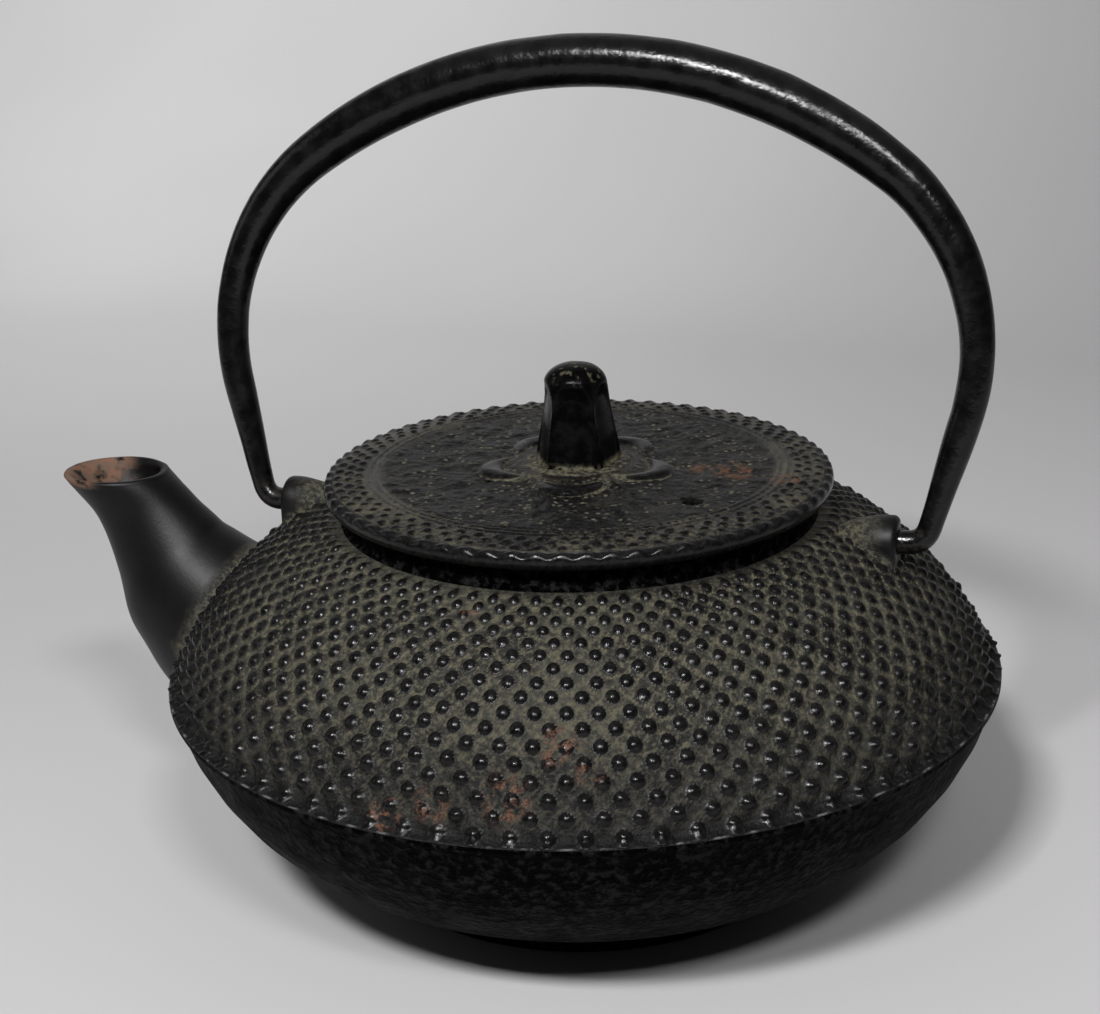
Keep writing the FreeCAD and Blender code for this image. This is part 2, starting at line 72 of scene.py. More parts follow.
# The pot's turned outline: foot, bowl, lip, hobnailed shoulder, collar and the inside
FOOT_RADIUS = 33.0
FOOT_HEIGHT = 4.0
FOOT_EDGE = ((0.6, 0.0), (0.1, 0.2), (0.0, 0.7))
FOOT_FILLET = 0.4
UNDERSIDE_RADIUS = 16.0
BOWL_MIDDLE = (25.5, 38.2)
BOWL_RADIUS = 35.0
BOWL_TURN = (-77.6, -14.5)
INNER_BOWL_TURN = (-17.1, -82.1)
LIP_RADIUS = 60.0
LIP_TOP = 30.9
LIP_BOTTOM = 30.0
LIP_EDGE = 0.16
LIP_ROUND = 0.45
LIP_STRIP_RADIUS = 58.6
SHOULDER_MIDDLE = (20.72, 14.44)
SHOULDER_RADIUS = 41.2
SHOULDER_SPAN = (15, 80)
INNER_SHOULDER_TURN = (75.9, 22.1)
NECK_TURN = 69.5
NECK_FILLET = 0.5
WALL = 3.0
COLLAR_RADIUS = 33.5
COLLAR_TOP = 56.3
COLLAR_EDGE = 0.2
LEDGE_RADIUS = 32.0
LEDGE_HEIGHT = 55.3
MOUTH_RADIUS = 30.0

# Hobnails: rows of round bumps, each row half a pitch round from the one below it.
# A bump has a diamond of grid points to itself, BUMP_STEPS from its middle to each corner.
BUMPS_ROUND = 82
BUMP_ROWS = 17
BUMP_STEPS = 5
COLUMNS = BUMPS_ROUND * 2 * BUMP_STEPS
FIRST_GRID_ROW = -3
LAST_GRID_ROW = BUMP_STEPS * (BUMP_ROWS - 1) + 2
LIP_STRIP_ROW = -1.2
FIRST_ROW_TURN = 24.4
FIRST_BUMP = -73.6
ROW_STEP = 0.0374
ROW_DRIFT = 0.00022
BUMP_SHARE = 0.62
BUMP_FOOT = 0.8
BUMP_DRAWN = 0.95
BUMP_RISE = 0.68
BUMP_CHANGE = 0.14
BUMP_WANDER = 0.16
BUMP_POINTED = 0.4
DOME_POWER = 0.75
CONE_POWER = 0.8

# Spout: centre along X, centre height, half depth and lean of its sections, from the pot outwards
SPOUT_SECTIONS = np.array([
    [-39.0, 26.7, 15.5, 62.0],
    [-54.8, 28.6, 14.3, 58.3],
    [-64.3, 36.5, 11.3, 48.3],
    [-66.9, 42.5, 8.9, 30.2],
    [-70.1, 48.5, 7.6, 13.4],
    [-74.3, 53.4, 8.3, 0.0],
])
SPOUT_LIP = ((0.25, 0.1), (0.40, 0.4), (0.40, 0.8), (0.15, 1.2))
SPOUT_FLATNESS = 0.85
SPOUT_WALL = 1.5
SPOUT_RINGS = 60
SPOUT_COLUMNS = 96
SPOUT_DUST_REACH = 4.0
SPOUT_DUST_FULL = 0.5
SPOUT_RUST = (-73.0, -77.0)

# Ears and the bail handle that hooks into them
EAR_FACE = 45.5
EAR_INNER = 37.5
EAR_HALF_WIDTH = 3.6
EAR_DEPTH = 7.0
EAR_EDGE = 0.9
EAR_NARROWING = 0.45
EAR_COLUMNS = 64
PIVOT_HEIGHT = 51.0
HOOK_HOLE_RADIUS = 1.73
HOOK_HOLE_DEPTH = 5.0
HOOK_HOLE_BEVEL = 0.3
BAIL_LEAN = 10.1
BAIL_ARCH_RADIUS = 70.5
BAIL_ARCH_DROP = 6.1
BAIL_ARCH_END = 53.8
BAIL_BEND_RADIUS = 31.7
BAIL_ARM_SLANT = 14.8
BAIL_ARM_TOP = (53.55, 17.1)
BAIL_HOOK_BEND = 3.5
BAIL_HOOK_CUT = 0.55
BAIL_HOOK_END = 41.0
BAIL_COLUMNS = 48
ARCH_POINTS = 46
BEND_POINTS = 34
ARM_POINTS = 14
GRIP_RADIUS = 3.65
GRIP_SHARE = 0.55
ARM_RADIUS = 2.25
HOOK_RADIUS = 1.65

# Lid: skirt, side as (inward from the edge, above the collar), border and the rows of its top
LID_SCALLOPS = 70
LID_COLUMNS = LID_SCALLOPS * 10
LID_UNDERSIDE = 56.8
LID_UNDERSIDE_RADIUS = 9.0
LID_SEAT_RADIUS = 34.2
SKIRT_INNER = 26.0
SKIRT_OUTER = 27.9
SKIRT_EDGE = 0.3
SKIRT_FILLET = 0.4
LID_SIDE = ((1.1, 0.05), (0.5, 0.3), (0.12, 0.8), (0.0, 1.3), (0.0, 1.8), (0.2, 2.25))
LID_FLAT_RADIUS = 29.6
LID_BEVEL_RADIUS = 35.5
LID_BORDER_FALL = 0.50
LID_TOP_ROWS = ((LID_BEVEL_RADIUS, 28.0, -0.22), (27.7, 12.0, -0.5), (11.5, 1.0, -1.5))
LID_TOP_DEPTH = 0.25
LID_WAVE = 0.22
LID_WAVE_WIDTH = 1.0
LID_BEAD_ROWS = (34.0, 32.5, 31.1)
LID_BEAD_RADIUS = 0.72
LID_BEAD_RISE = 0.34
LID_RIDGES = (29.7, 28.6)
LID_RIDGE_WIDTH = 0.28
LID_RIDGE_RISE = 0.20
LID_FIELD_EDGE = (28.6, 27.2)
LID_GLOSSY_ROWS = 4
STEAM_HOLE = (19.6, -12.6)
STEAM_CUTTER = ((1.2, -4.0), (1.2, -0.9), (1.35, -0.5), (1.8, -0.1), (2.0, 1.5))
STEAM_COLUMNS = 40

# Blossom seat and knob
BLOSSOM_COLUMNS = 240
PETALS = 5
FIRST_PETAL = -80.0
PETAL_DISTANCE = 8.6
PETAL_RADIUS = 5.9
PETAL_BEAD_INSET = 1.9
PETAL_BEAD_DEPTH = 1.7
PETAL_BEAD_SHARE = 0.37
SEAT_MIDDLE_RADIUS = 1.5
SEAT_SLOPE = (12.5, 6.5)
SEAT_BURIED = 0.6
KNOB_ROOT = ((0.3, 0.5), (0.1, 0.2))
KNOB_FOOT_RADIUS = 6.6
KNOB_TOP_RADIUS = 4.5
KNOB_DOME = 3.0
KNOB_DOME_TURN = (7, 87)
KNOB_DOME_POWER = 0.9
KNOB_HOLLOW = 0.20
KNOB_ARCH_TOP = 2.6
KNOB_ARCH_HEIGHT = 2.2
KNOB_ARCH_POWER = 2.5

# Strainer perforations
STRAINER_HOLE = 0.8
STRAINER_HOLES_ROUND = 60
STRAINER_HOLE_ROWS = 10
STRAINER_SHEET = 0.6
STRAINER_MARGIN = 3.0
STRAINER_RIM_INNER = 28.4
HOLE_SIDES = 16
CELL_SIDES = HOLE_SIDES // 4
FLOOR_PLAIN_RADIUS = 11.0
FLOOR_HOLES_ROUND = 40
FLOOR_HOLE_RINGS = 5
FLOOR_EDGE = 0.3

# Colours
IRON_DARK = (0.0022, 0.0022, 0.0024)
IRON_GREY = (0.0095, 0.0092, 0.0088)
BOWL_DARK = (0.0003, 0.0003, 0.0004)
BOWL_GREY = (0.0130, 0.0130, 0.0128)
DUST = (0.116, 0.105, 0.068)
DUST_GREY = (0.060, 0.060, 0.049)
RUST = (0.150, 0.072, 0.044)
RUST_DARK = (0.045, 0.024, 0.016)
RUST_PALE = (0.105, 0.070, 0.051)
# Light grey painted on the lip's edge as a highlight
PAINTED_LIP_HIGHLIGHT = (0.120, 0.120, 0.120)
LACQUER_DARK = (0.0012, 0.0012, 0.0013)
LACQUER_GREY = (0.0045, 0.0043, 0.0042)
LACQUER_WORN = (0.012, 0.010, 0.009)
STEEL = (0.56, 0.56, 0.55)
TEA_STAIN = (0.33, 0.26, 0.17)
FLOOR_PAPER = (0.46, 0.455, 0.46)
# Backdrop colours painted lighter on the left and darker on the right, as a falloff of light
BACKDROP_PAINTED_LIT_LEFT = (0.93, 0.925, 0.93)
BACKDROP_PAINTED_SHADE_RIGHT = (0.42, 0.415, 0.42)
PAPER_CLOUD = (0.44, 0.435, 0.44)
SKY = (0.80, 0.80, 0.82, 1.0)
SKY_STRENGTH = 0.05

# Noises that two kinds of iron share: size, detail and roughness
FINE_GRAIN = (0.30, 6.0, 0.65)
GRIT = (0.75, 5.0, 0.7)

# Rust spots: x, y, z and reach
POT_RUST = [(-8.4, -57.3, 32.2, 3.2), (-2.4, -56.9, 34.1, 3.0), (6.8, -55.8, 35.3, 4.0),
            (12.1, -51.2, 40.5, 3.6), (16.1, -52.1, 38.0, 2.4), (-3.2, -38.4, 51.6, 1.6)]
LID_RUST = [(22.5, 1.2, 59.5, 5.0), (30.0, -1.0, 59.5, 3.0), (17.3, 2.0, 59.5, 2.5)]

# Where the camera stood
CAMERA_PLACE = (74.04, -246.78, 141.11)
CAMERA_HEADING = 17.62
CAMERA_DOWN = 18.88
CAMERA_ROLL = -1.92
CAMERA_LENS = 62.18
CAMERA_SENSOR = 36.0
CAMERA_NEAREST = 10.0

# Stage, and lights as name, place, height aimed at, size and watts
STAGE_HALF_WIDTH = 1300.0
STAGE_FLOOR = ((-900.0, 0.0), (-200.0, 0.0), (300.0, 0.0))
STAGE_SWEEP_RADIUS = 260.0
STAGE_TOP = (560.0, 1200.0)
LIGHTS = (
    ("front_key", (-35, -490, 560), 45, (130, 80), 5.6),
    ("right_key", (240, -440, 540), 45, (130, 80), 2.0),
    ("overhead", (0, 60, 1000), 40, (1500, 1500), 1.4),
    ("left_fill", (-620, -120, 320), 40, (300, 300), 0.2),
)


# Shapes


def box_mm(node):
    """Lowest and highest corner of a CAD node."""
    return [np.array(corner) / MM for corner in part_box(node)]


def smooth(value, low, high):
    """Eases from 0 at low to 1 at high."""
    share = np.clip((value - low) / (high - low), 0, 1)
    return share * share * (3 - 2 * share)


def grain(points, size, seed):
    """Smooth random heights from -1 to 1 at points, with lumps of about that size."""
    cells = points / size
    corner = np.floor(cells).astype(np.int64)
    ease = smooth(cells - corner, 0, 1)
    total = np.zeros(points.shape[:-1])
    for step in itertools.product((0, 1), repeat=3):
        at = (corner + np.array(step)) * np.array(HASH_AXES)
        mixed = at[..., 0] ^ at[..., 1] ^ at[..., 2]
        mixed = (mixed ^ (seed * HASH_SEED)) * HASH_MIX % 2 ** 32
        weight = np.where(step, ease, 1 - ease).prod(-1)
        total += weight * (mixed / 2 ** 31 - 1)
    return total


def steps_round(count):
    """Angles of even steps round a circle."""
    return np.linspace(0, FULL_TURN, count, endpoint=False)


def round_z(radius, turns, height):
    """Points at a distance from Z, an angle round it and a height."""
    across = np.broadcast_arrays(radius * np.cos(turns), radius * np.sin(turns), height)
    return np.stack(across, -1)


def arc(middle, radius, start, end, count):
    """Points of an arc, from one angle to another."""
    turns = np.radians(np.linspace(start, end, count))
    return np.stack([middle[0] + radius * np.cos(turns), middle[1] + radius * np.sin(turns)], 1)


def spread_rows(rows, columns, start=0.0):
    """A turned outline of (radius, height) rows as a grid of points round Z."""
    rows = np.asarray(rows, float)
    return round_z(rows[:, :1], math.radians(start) + steps_round(columns), rows[:, 1:])


def ring_faces(rows, columns, closed=False):
    """Quads between neighbouring rings, and back from the last to the first ring if closed."""
    starts = np.arange(rows if closed else rows - 1)
    row, column = np.meshgrid(starts, np.arange(columns), indexing="ij")
    above = (row + 1) % rows
    beside = (column + 1) % columns
    corners = [(row, column), (row, beside), (above, beside), (above, column)]
    return np.stack([ring * columns + step for ring, step in corners], -1).reshape(-1, 4).tolist()


def mesh_from_grid(grid, closed=False):
    """Points and faces of a grid of rings: each end is closed by a fan, or the ends meet."""
    rows, columns, _ = grid.shape
    points = grid.reshape(-1, 3)
    faces = ring_faces(rows, columns, closed)
    if not closed:
        points = np.concatenate([points, grid[:1].mean(1), grid[-1:].mean(1)])
        first, last = len(points) - 2, len(points) - 1
        top = (rows - 1) * columns
        for column in range(columns):
            beside = (column + 1) % columns
            faces.append([beside, column, first])
            faces.append([top + column, top + beside, last])
    return points, faces


def cast_mesh(grid, depth, size, seed):
    """Points and faces of a grid of rings, as uneven as a hand-made casting."""
    points, faces = mesh_from_grid(grid)
    return points + depth * grain(points, size, seed)[:, None], faces


def mesh_mm(name, points, faces):
    """A mesh from points in millimetres."""
    mesh = bpy.data.meshes.new(name)
    mesh.from_pydata((points * MM).tolist(), [], faces)
    return mesh


def in_scene(name, data):
    """A new object in the scene."""
    shown = bpy.data.objects.new(name, data)
    bpy.context.scene.collection.objects.link(shown)
    return shown


def piece(name, points, faces, material, body, node, marks=None):
    """A smooth mesh that stands for a CAD node and rides on a body. Marks are shares kept at points."""
    mesh = mesh_mm(name, points, faces)
    for mark, shares in (marks or {}).items():
        values = np.zeros(len(points), np.float32)
        shares = np.asarray(shares, np.float32).reshape(-1)
        values[:len(shares)] = shares
        values[len(shares):] = shares[-1]
        mesh.attributes.new(mark, "FLOAT", "POINT").data.foreach_set("value", values)
    shape = bmesh.new()
    shape.from_mesh(mesh)
    bmesh.ops.recalc_face_normals(shape, faces=shape.faces)
    shape.to_mesh(mesh)
    shape.free()
    mesh.shade_smooth()
    mesh.materials.append(material)
    shown = in_scene(name, mesh)
    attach(shown, body)
    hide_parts(node)
    return shown


def second_material(shown, material, chosen):
    """Gives the chosen faces of a piece another material."""
    shown.data.materials.append(material)
    shown.data.polygons.foreach_set("material_index", chosen.astype(np.int32))


# Materials


class Surface:
    """A node material being put together, with one short call for each kind of node used here."""

    MIX_FIRST, MIX_SECOND, MIX_RESULT = 6, 7, 2

    def __init__(self, name):
        self.material = bpy.data.materials.new(name)
        self.material.use_nodes = True
        self.tree = self.material.node_tree
        self.shader = self.tree.nodes["Principled BSDF"]
        self.place = self.node("ShaderNodeTexCoord").outputs["Object"]

    def node(self, kind, settings=None, **inputs):
        """A new node, with its settings, and its inputs given as values or as sockets to link."""
        made = self.tree.nodes.new(kind)
        for key, value in (settings or {}).items():
            setattr(made, key, value)
        for key, value in inputs.items():
            self.put(made.inputs[key.replace("_", " ")], value)
        return made

    def put(self, socket, value):
        if isinstance(value, bpy.types.NodeSocket):
            self.tree.links.new(value, socket)
        else:
            socket.default_value = value

    def mark(self, name):
        """A share kept at the points of the mesh."""
        return self.node("ShaderNodeAttribute", {"attribute_name": name}).outputs["Fac"]

    def noise(self, size, detail=4.0, rough=0.55, lean=0.0):
        return self.node("ShaderNodeTexNoise", Vector=self.place, Scale=1 / (size * MM),
                         Detail=detail, Roughness=rough, Distortion=lean).outputs["Fac"]

    def cells(self, size):
        made = self.node("ShaderNodeTexVoronoi", Vector=self.place, Scale=1 / (size * MM))
        return made.outputs["Distance"]

    def ease(self, value, low, high, start=0.0, end=1.0):
        """Eases from start at low to end at high."""
        made = self.node("ShaderNodeMapRange", {"interpolation_type": "SMOOTHSTEP"},
                         From_Min=low, From_Max=high, To_Min=start, To_Max=end)
        self.put(made.inputs["Value"], value)
        return made.outputs["Result"]

    def combine(self, kind, *values):
        """One value from several, taken in order."""
        total = values[0]
        for value in values[1:]:
            made = self.node("ShaderNodeMath", {"operation": kind})
            self.put(made.inputs[0], total)
            self.put(made.inputs[1], value)
            total = made.outputs["Value"]
        return total

    def add(self, *values):
        return self.combine("ADD", *values)

    def times(self, *values):
        return self.combine("MULTIPLY", *values)

    def most(self, *values):
        return self.combine("MAXIMUM", *values)

    def mix(self, first, second, share):
        """From the first colour to the second as the share goes from 0 to 1."""
        made = self.node("ShaderNodeMix", {"data_type": "RGBA"}, Factor=share)
        for socket, value in ((self.MIX_FIRST, first), (self.MIX_SECOND, second)):
            self.put(made.inputs[socket], (*value, 1.0) if isinstance(value, tuple) else value)
        return made.outputs[self.MIX_RESULT]

    def spots(self, centres):
        """1 inside round places given as (x, y, z, reach), falling to 0 at their edges."""
        found = []
        for x, y, z, reach in centres:
            away = self.node("ShaderNodeVectorMath", {"operation": "DISTANCE"})
            self.put(away.inputs[0], self.place)
            self.put(away.inputs[1], (x * MM, y * MM, z * MM))
            found.append(self.ease(away.outputs["Value"], reach * MM, 0.3 * reach * MM))
        return self.most(*found)

    def soil(self, color, grit, dust, fine, rust):
        """A colour with dust and then rust laid over it."""
        color = self.mix(color, self.mix(DUST_GREY, DUST, self.ease(grit, 0.40, 0.66)), dust)
        return self.mix(color, self.mix(RUST_DARK, RUST, self.ease(fine, 0.35, 0.62)), rust)

    def bump(self, height, depth, under=None):
        made = self.node("ShaderNodeBump", Height=height, Distance=depth * MM, Strength=1.0)
        if under is not None:
            self.put(made.inputs["Normal"], under)
        return made.outputs["Normal"]

    def finish(self, color, roughness, normal, **constants):
        self.put(self.shader.inputs["Base Color"], color)
        self.put(self.shader.inputs["Roughness"], roughness)
        self.put(self.shader.inputs["Normal"], normal)
        for key, value in constants.items():
            self.shader.inputs[key.replace("_", " ")].default_value = value
        return self.material


def pot_iron():
    """Black cast iron: glossy bump tops, dust packed round their feet, rust spots and a highlight painted
    along the lip's edge.
    """
    make = Surface("pot_iron")
    relief = make.mark("relief")
    satin = make.mark("satin")
    calm = make.ease(satin, 0.0, 1.0, 1.0, 0.08)
    fine = make.noise(*FINE_GRAIN)
    grit = make.noise(*GRIT)
    coarse = make.noise(1.3, 4.0, 0.6)
    patches = make.noise(14.0, 3.0, 0.55)
    hollow = make.ease(relief, 0.60, 0.06)
    packed = make.times(make.mark("packed"), make.ease(grit, 0.40, 0.58))
    film = make.ease(make.add(grit, patches), 0.78, 1.22, 0.12, 0.70)
    dust = make.times(hollow, make.mark("dusty"), make.most(film, packed))
    flakes = make.times(make.ease(coarse, 0.48, 0.60), make.ease(fine, 0.40, 0.56, 0.35, 1.0))
    rust = make.times(make.spots(POT_RUST), flakes)
    tip = make.times(make.mark("rusty"), make.ease(make.noise(2.4, 4.0), 0.34, 0.52))
    # Painted highlight: a light grey on the lip's edge between the bumps, broken up by noise
    wear_and_painted_highlight = make.times(make.mark("wear_and_painted_highlight"), make.ease(make.noise(2.0, 3.0), 0.46, 0.60))
    color = make.mix(IRON_DARK, IRON_GREY, make.times(calm, make.ease(grit, 0.38, 0.70)))
    color = make.soil(color, grit, dust, fine, rust)
    color = make.mix(color, make.mix(RUST, RUST_PALE, make.ease(coarse, 0.35, 0.60)), tip)
    color = make.mix(color, PAINTED_LIP_HIGHLIGHT, wear_and_painted_highlight)
    shine = make.ease(relief, 0.25, 0.85, 0.38, 0.22)
    clouded = make.times(calm, make.ease(coarse, 0.40, 0.75, -0.04, 0.10))
    dull = make.times(make.most(dust, rust, tip), 0.40)
    roughness = make.add(shine, clouded, dull, make.times(satin, 0.05))
    rugged = make.times(calm, make.ease(relief, 0.02, 0.60, 1.0, 0.10))
    skin = make.bump(make.times(grit, rugged), 0.36)
    normal = make.bump(make.times(fine, rugged), 0.10, skin)
    return make.finish(color, roughness, normal, Specular_IOR_Level=0.20)


def bowl_iron():
    """Plain black iron with the fine grainy skin of a sand casting and next to no sheen."""
    make = Surface("bowl_iron")
    wrinkle = make.noise(1.2, 5.0, 0.62, 0.2)
    color = make.mix(BOWL_DARK, BOWL_GREY, make.ease(wrinkle, 0.46, 0.66))
    roughness = make.ease(make.noise(6.0, 3.0), 0.35, 0.70, 0.44, 0.58)
    normal = make.bump(make.noise(0.3, 4.0), 0.04, make.bump(wrinkle, 1.4))
    return make.finish(color, roughness, normal, Specular_IOR_Level=0.012)


def lid_iron():
    """The lid's iron: black pebbled top with specks of dust, a dusty border and polished beads."""
    make = Surface("lid_iron")
    relief = make.mark("relief")
    pitted = make.mark("pitted")
    fine = make.noise(*FINE_GRAIN)
    grit = make.noise(*GRIT)
    pebbles = make.noise(1.5, 3.0, 0.55)
    patches = make.noise(11.0, 3.0, 0.5)
    hollow = make.ease(relief, 0.60, 0.10)
    film = make.times(hollow, make.mark("dusty"), make.ease(make.add(grit, patches), 0.86, 1.22))
    dots = make.ease(make.cells(1.15), 0.38, 0.18)
    specks = make.times(pitted, dots, make.ease(make.noise(5.0, 3.0), 0.38, 0.58))
    dust = make.most(film, specks)
    rust = make.times(make.spots(LID_RUST), make.ease(pebbles, 0.45, 0.58), 0.7)
    color = make.mix(IRON_DARK, IRON_GREY, make.ease(grit, 0.40, 0.72))
    color = make.soil(color, grit, dust, fine, rust)
    polished = make.ease(relief, 0.70, 1.0, 0.0, -0.09)
    shine = make.add(make.ease(grit, 0.35, 0.75, 0.22, 0.32), make.times(pitted, 0.16), polished)
    roughness = make.add(shine, make.times(make.most(dust, rust), 0.40))
    normal = make.bump(fine, 0.05, make.bump(make.times(pitted, pebbles), 0.7))
    return make.finish(color, roughness, normal, Specular_IOR_Level=0.09)


def knob_iron():
    """Smooth black knob with dust where fingers do not reach and specks on its crown."""
    make = Surface("knob_iron")
    fine = make.noise(0.4, 5.0, 0.6)
    coarse = make.noise(1.8, 4.0, 0.6)
    dust = make.times(make.mark("dusty"), make.ease(coarse, 0.36, 0.60))
    specks = make.times(make.mark("pitted"), make.ease(make.noise(0.9, 3.0), 0.56, 0.66), 0.45)
    dull = make.most(dust, specks)
    color = make.mix(LACQUER_DARK, LACQUER_GREY, make.ease(coarse, 0.4, 0.7))
    color = make.mix(color, DUST, dull)
    roughness = make.add(make.ease(coarse, 0.35, 0.75, 0.17, 0.27), make.times(dull, 0.45))
    normal = make.bump(fine, 0.02, make.bump(coarse, 0.08))
    return make.finish(color, roughness, normal, Specular_IOR_Level=0.04)


def bail_lacquer():
    """Glossy black lacquer over hammered iron, thin and brown along the hooks."""
    make = Surface("bail_lacquer")
    fine = make.noise(0.6, 5.0, 0.6)
    ripple = make.noise(2.6, 4.0, 0.6)
    wear_and_painted_highlight = make.times(make.mark("wear_and_painted_highlight"), make.ease(make.noise(1.2, 4.0), 0.44, 0.60))
    color = make.mix(LACQUER_DARK, LACQUER_GREY, make.ease(ripple, 0.3, 0.7))
    color = make.mix(color, LACQUER_WORN, wear_and_painted_highlight)
    roughness = make.add(make.ease(ripple, 0.35, 0.7, 0.18, 0.25), make.times(wear_and_painted_highlight, 0.06))
    normal = make.bump(fine, 0.03, make.bump(ripple, 0.15))
    return make.finish(color, roughness, normal, Specular_IOR_Level=0.28)


def strainer_steel():
    """Brushed stainless steel, a little tea-stained."""
    make = Surface("strainer_steel")
    long = make.node("ShaderNodeMapping", Vector=make.place, Scale=(1.0, 1.0, 22.0)).outputs["Vector"]
    brush = make.node("ShaderNodeTexNoise", Vector=long, Scale=1 / (3.0 * MM), Detail=4.0).outputs["Fac"]
    stain = make.ease(make.noise(9.0, 3.0), 0.5, 0.72)
    color = make.mix(STEEL, TEA_STAIN, make.times(stain, 0.55))
    roughness = make.ease(brush, 0.3, 0.7, 0.20, 0.38)
    return make.finish(color, roughness, make.bump(brush, 0.02), Metallic=1.0)


POT_IRON = pot_iron()
BOWL_IRON = bowl_iron()
LID_IRON = lid_iron()
KNOB_IRON = knob_iron()
BAIL_LACQUER = bail_lacquer()
STRAINER_STEEL = strainer_steel()


# Pot shell: one closed turned skin whose shoulder grid is drawn together round each hobnail


def dome(share):
    """Height share of a round bump at a share of its radius."""
    return np.clip(1 - share ** 2, 0, 1) ** DOME_POWER


def row_turn(row):
    """Angle on the shoulder's arc of a hobnail row. Rows keep their shape as the shoulder narrows."""
    turns = np.radians(np.linspace(*SHOULDER_SPAN, 800))
    around = SHOULDER_RADIUS / (SHOULDER_MIDDLE[0] + SHOULDER_RADIUS * np.cos(turns))
    climb = np.concatenate([[0], np.cumsum((around[1:] + around[:-1]) / 2 * np.diff(turns))])
    start = np.interp(math.radians(FIRST_ROW_TURN), turns, climb)
    return np.degrees(np.interp(start + ROW_STEP * row + ROW_DRIFT * row ** 2, climb, turns))


def nearest_bump(row, column):
    """For each grid point: its share of the way to the edge of a bump's diamond, its steps across and up
    from that bump's middle, and the bump's row and number."""
    found = []
    for step in (0, 1):
        bump_row = np.floor(row / BUMP_STEPS) + step
        stagger = bump_row % 2 * BUMP_STEPS
        number = np.round((column - stagger) / (2 * BUMP_STEPS))
        across = column - stagger - number * 2 * BUMP_STEPS
        up = row - bump_row * BUMP_STEPS
        share = (np.abs(across) + np.abs(up)) / BUMP_STEPS
        found.append(np.stack([share, across, up, bump_row, number]))
    below, above = found
    return np.where(above[0] < below[0], above, below)


def hobnail_grid(low, high):
    """Points of the shoulder between two grid rows, with their heights on a bump and the dust round it."""
    row, column = np.meshgrid(np.arange(low, high + 1), np.arange(COLUMNS), indexing="ij")
    nearest, aside, along, bump_row, bump_number = nearest_bump(row, column)
    real = (bump_row >= 0) & (bump_row < BUMP_ROWS)
    bump = np.clip(bump_row, 0, BUMP_ROWS - 1).astype(int), bump_number.astype(int) % BUMPS_ROUND
    # Draw the points of a bump's diamond into rings round its middle
    length = np.maximum(np.hypot(aside, along), TINY)
    ring = BUMP_SHARE / BUMP_FOOT * nearest * BUMP_STEPS / length
    drawn = np.where(real & (nearest < BUMP_DRAWN), ring, 1.0)
    free = smooth(row, -2.5, 0) * smooth(row, high + 0.5, high - 2)
    drawn = 1 + (drawn - 1) * free
    wander = rng.normal(0, BUMP_WANDER, (2, BUMP_ROWS, BUMPS_ROUND))
    keep = np.where(real, 1 - np.minimum(nearest, 1), 0) * free
    across = aside * drawn
    up = along * drawn
    place_column = column - aside + across + wander[0][bump] * keep
    place_row = row - along + up + wander[1][bump] * keep
    # Find their places on the shoulder, with the lip's flat strip below the first row
    turn = np.radians(row_turn(place_row / BUMP_STEPS))
    around = np.radians(FIRST_BUMP) + place_column / COLUMNS * FULL_TURN
    strip = place_row < LIP_STRIP_ROW
    strip_radius = np.interp(place_row, [low, low + 1, LIP_STRIP_ROW],
                             [LIP_RADIUS - LIP_EDGE, LIP_RADIUS - LIP_ROUND, LIP_STRIP_RADIUS])
    radius = np.where(strip, strip_radius, SHOULDER_MIDDLE[0] + SHOULDER_RADIUS * np.cos(turn))
    height = np.where(strip, LIP_TOP, SHOULDER_MIDDLE[1] + SHOULDER_RADIUS * np.sin(turn))
    # Lift the bumps along the shoulder's normal, more pointed and crusted towards the lip
    share = np.hypot(across, up) / (BUMP_SHARE * BUMP_STEPS)
    change = 1 + rng.normal(0, BUMP_CHANGE, (BUMP_ROWS, BUMPS_ROUND))
    size = BUMP_RISE * radius * FULL_TURN / COLUMNS * BUMP_SHARE * BUMP_STEPS
    pointed = BUMP_POINTED * smooth(row, 26, 4)
    cone = np.clip(1 - share, 0, 1) ** CONE_POWER
    relief = np.where(real, dome(share) * (1 - pointed) + cone * pointed, 0)
    packed = smooth(nearest, 0.55, 0.80) * (1 - 0.7 * smooth(nearest, 0.80, 1.0))
    packed = np.where(real, packed, 0.3)
    lift = relief * size * change[bump] * (1 + 0.5 * pointed)
    flat = round_z(radius, around, height)
    crust = smooth(row, -2, 2) * (1 + 0.8 * smooth(row, 24, 4))
    lift += crust * (0.06 * grain(flat, 1.0, seed=3) + 0.08 * grain(flat, 2.6, seed=4))
    return round_z(radius + lift * np.cos(turn), around, height + lift * np.sin(turn)), relief, packed


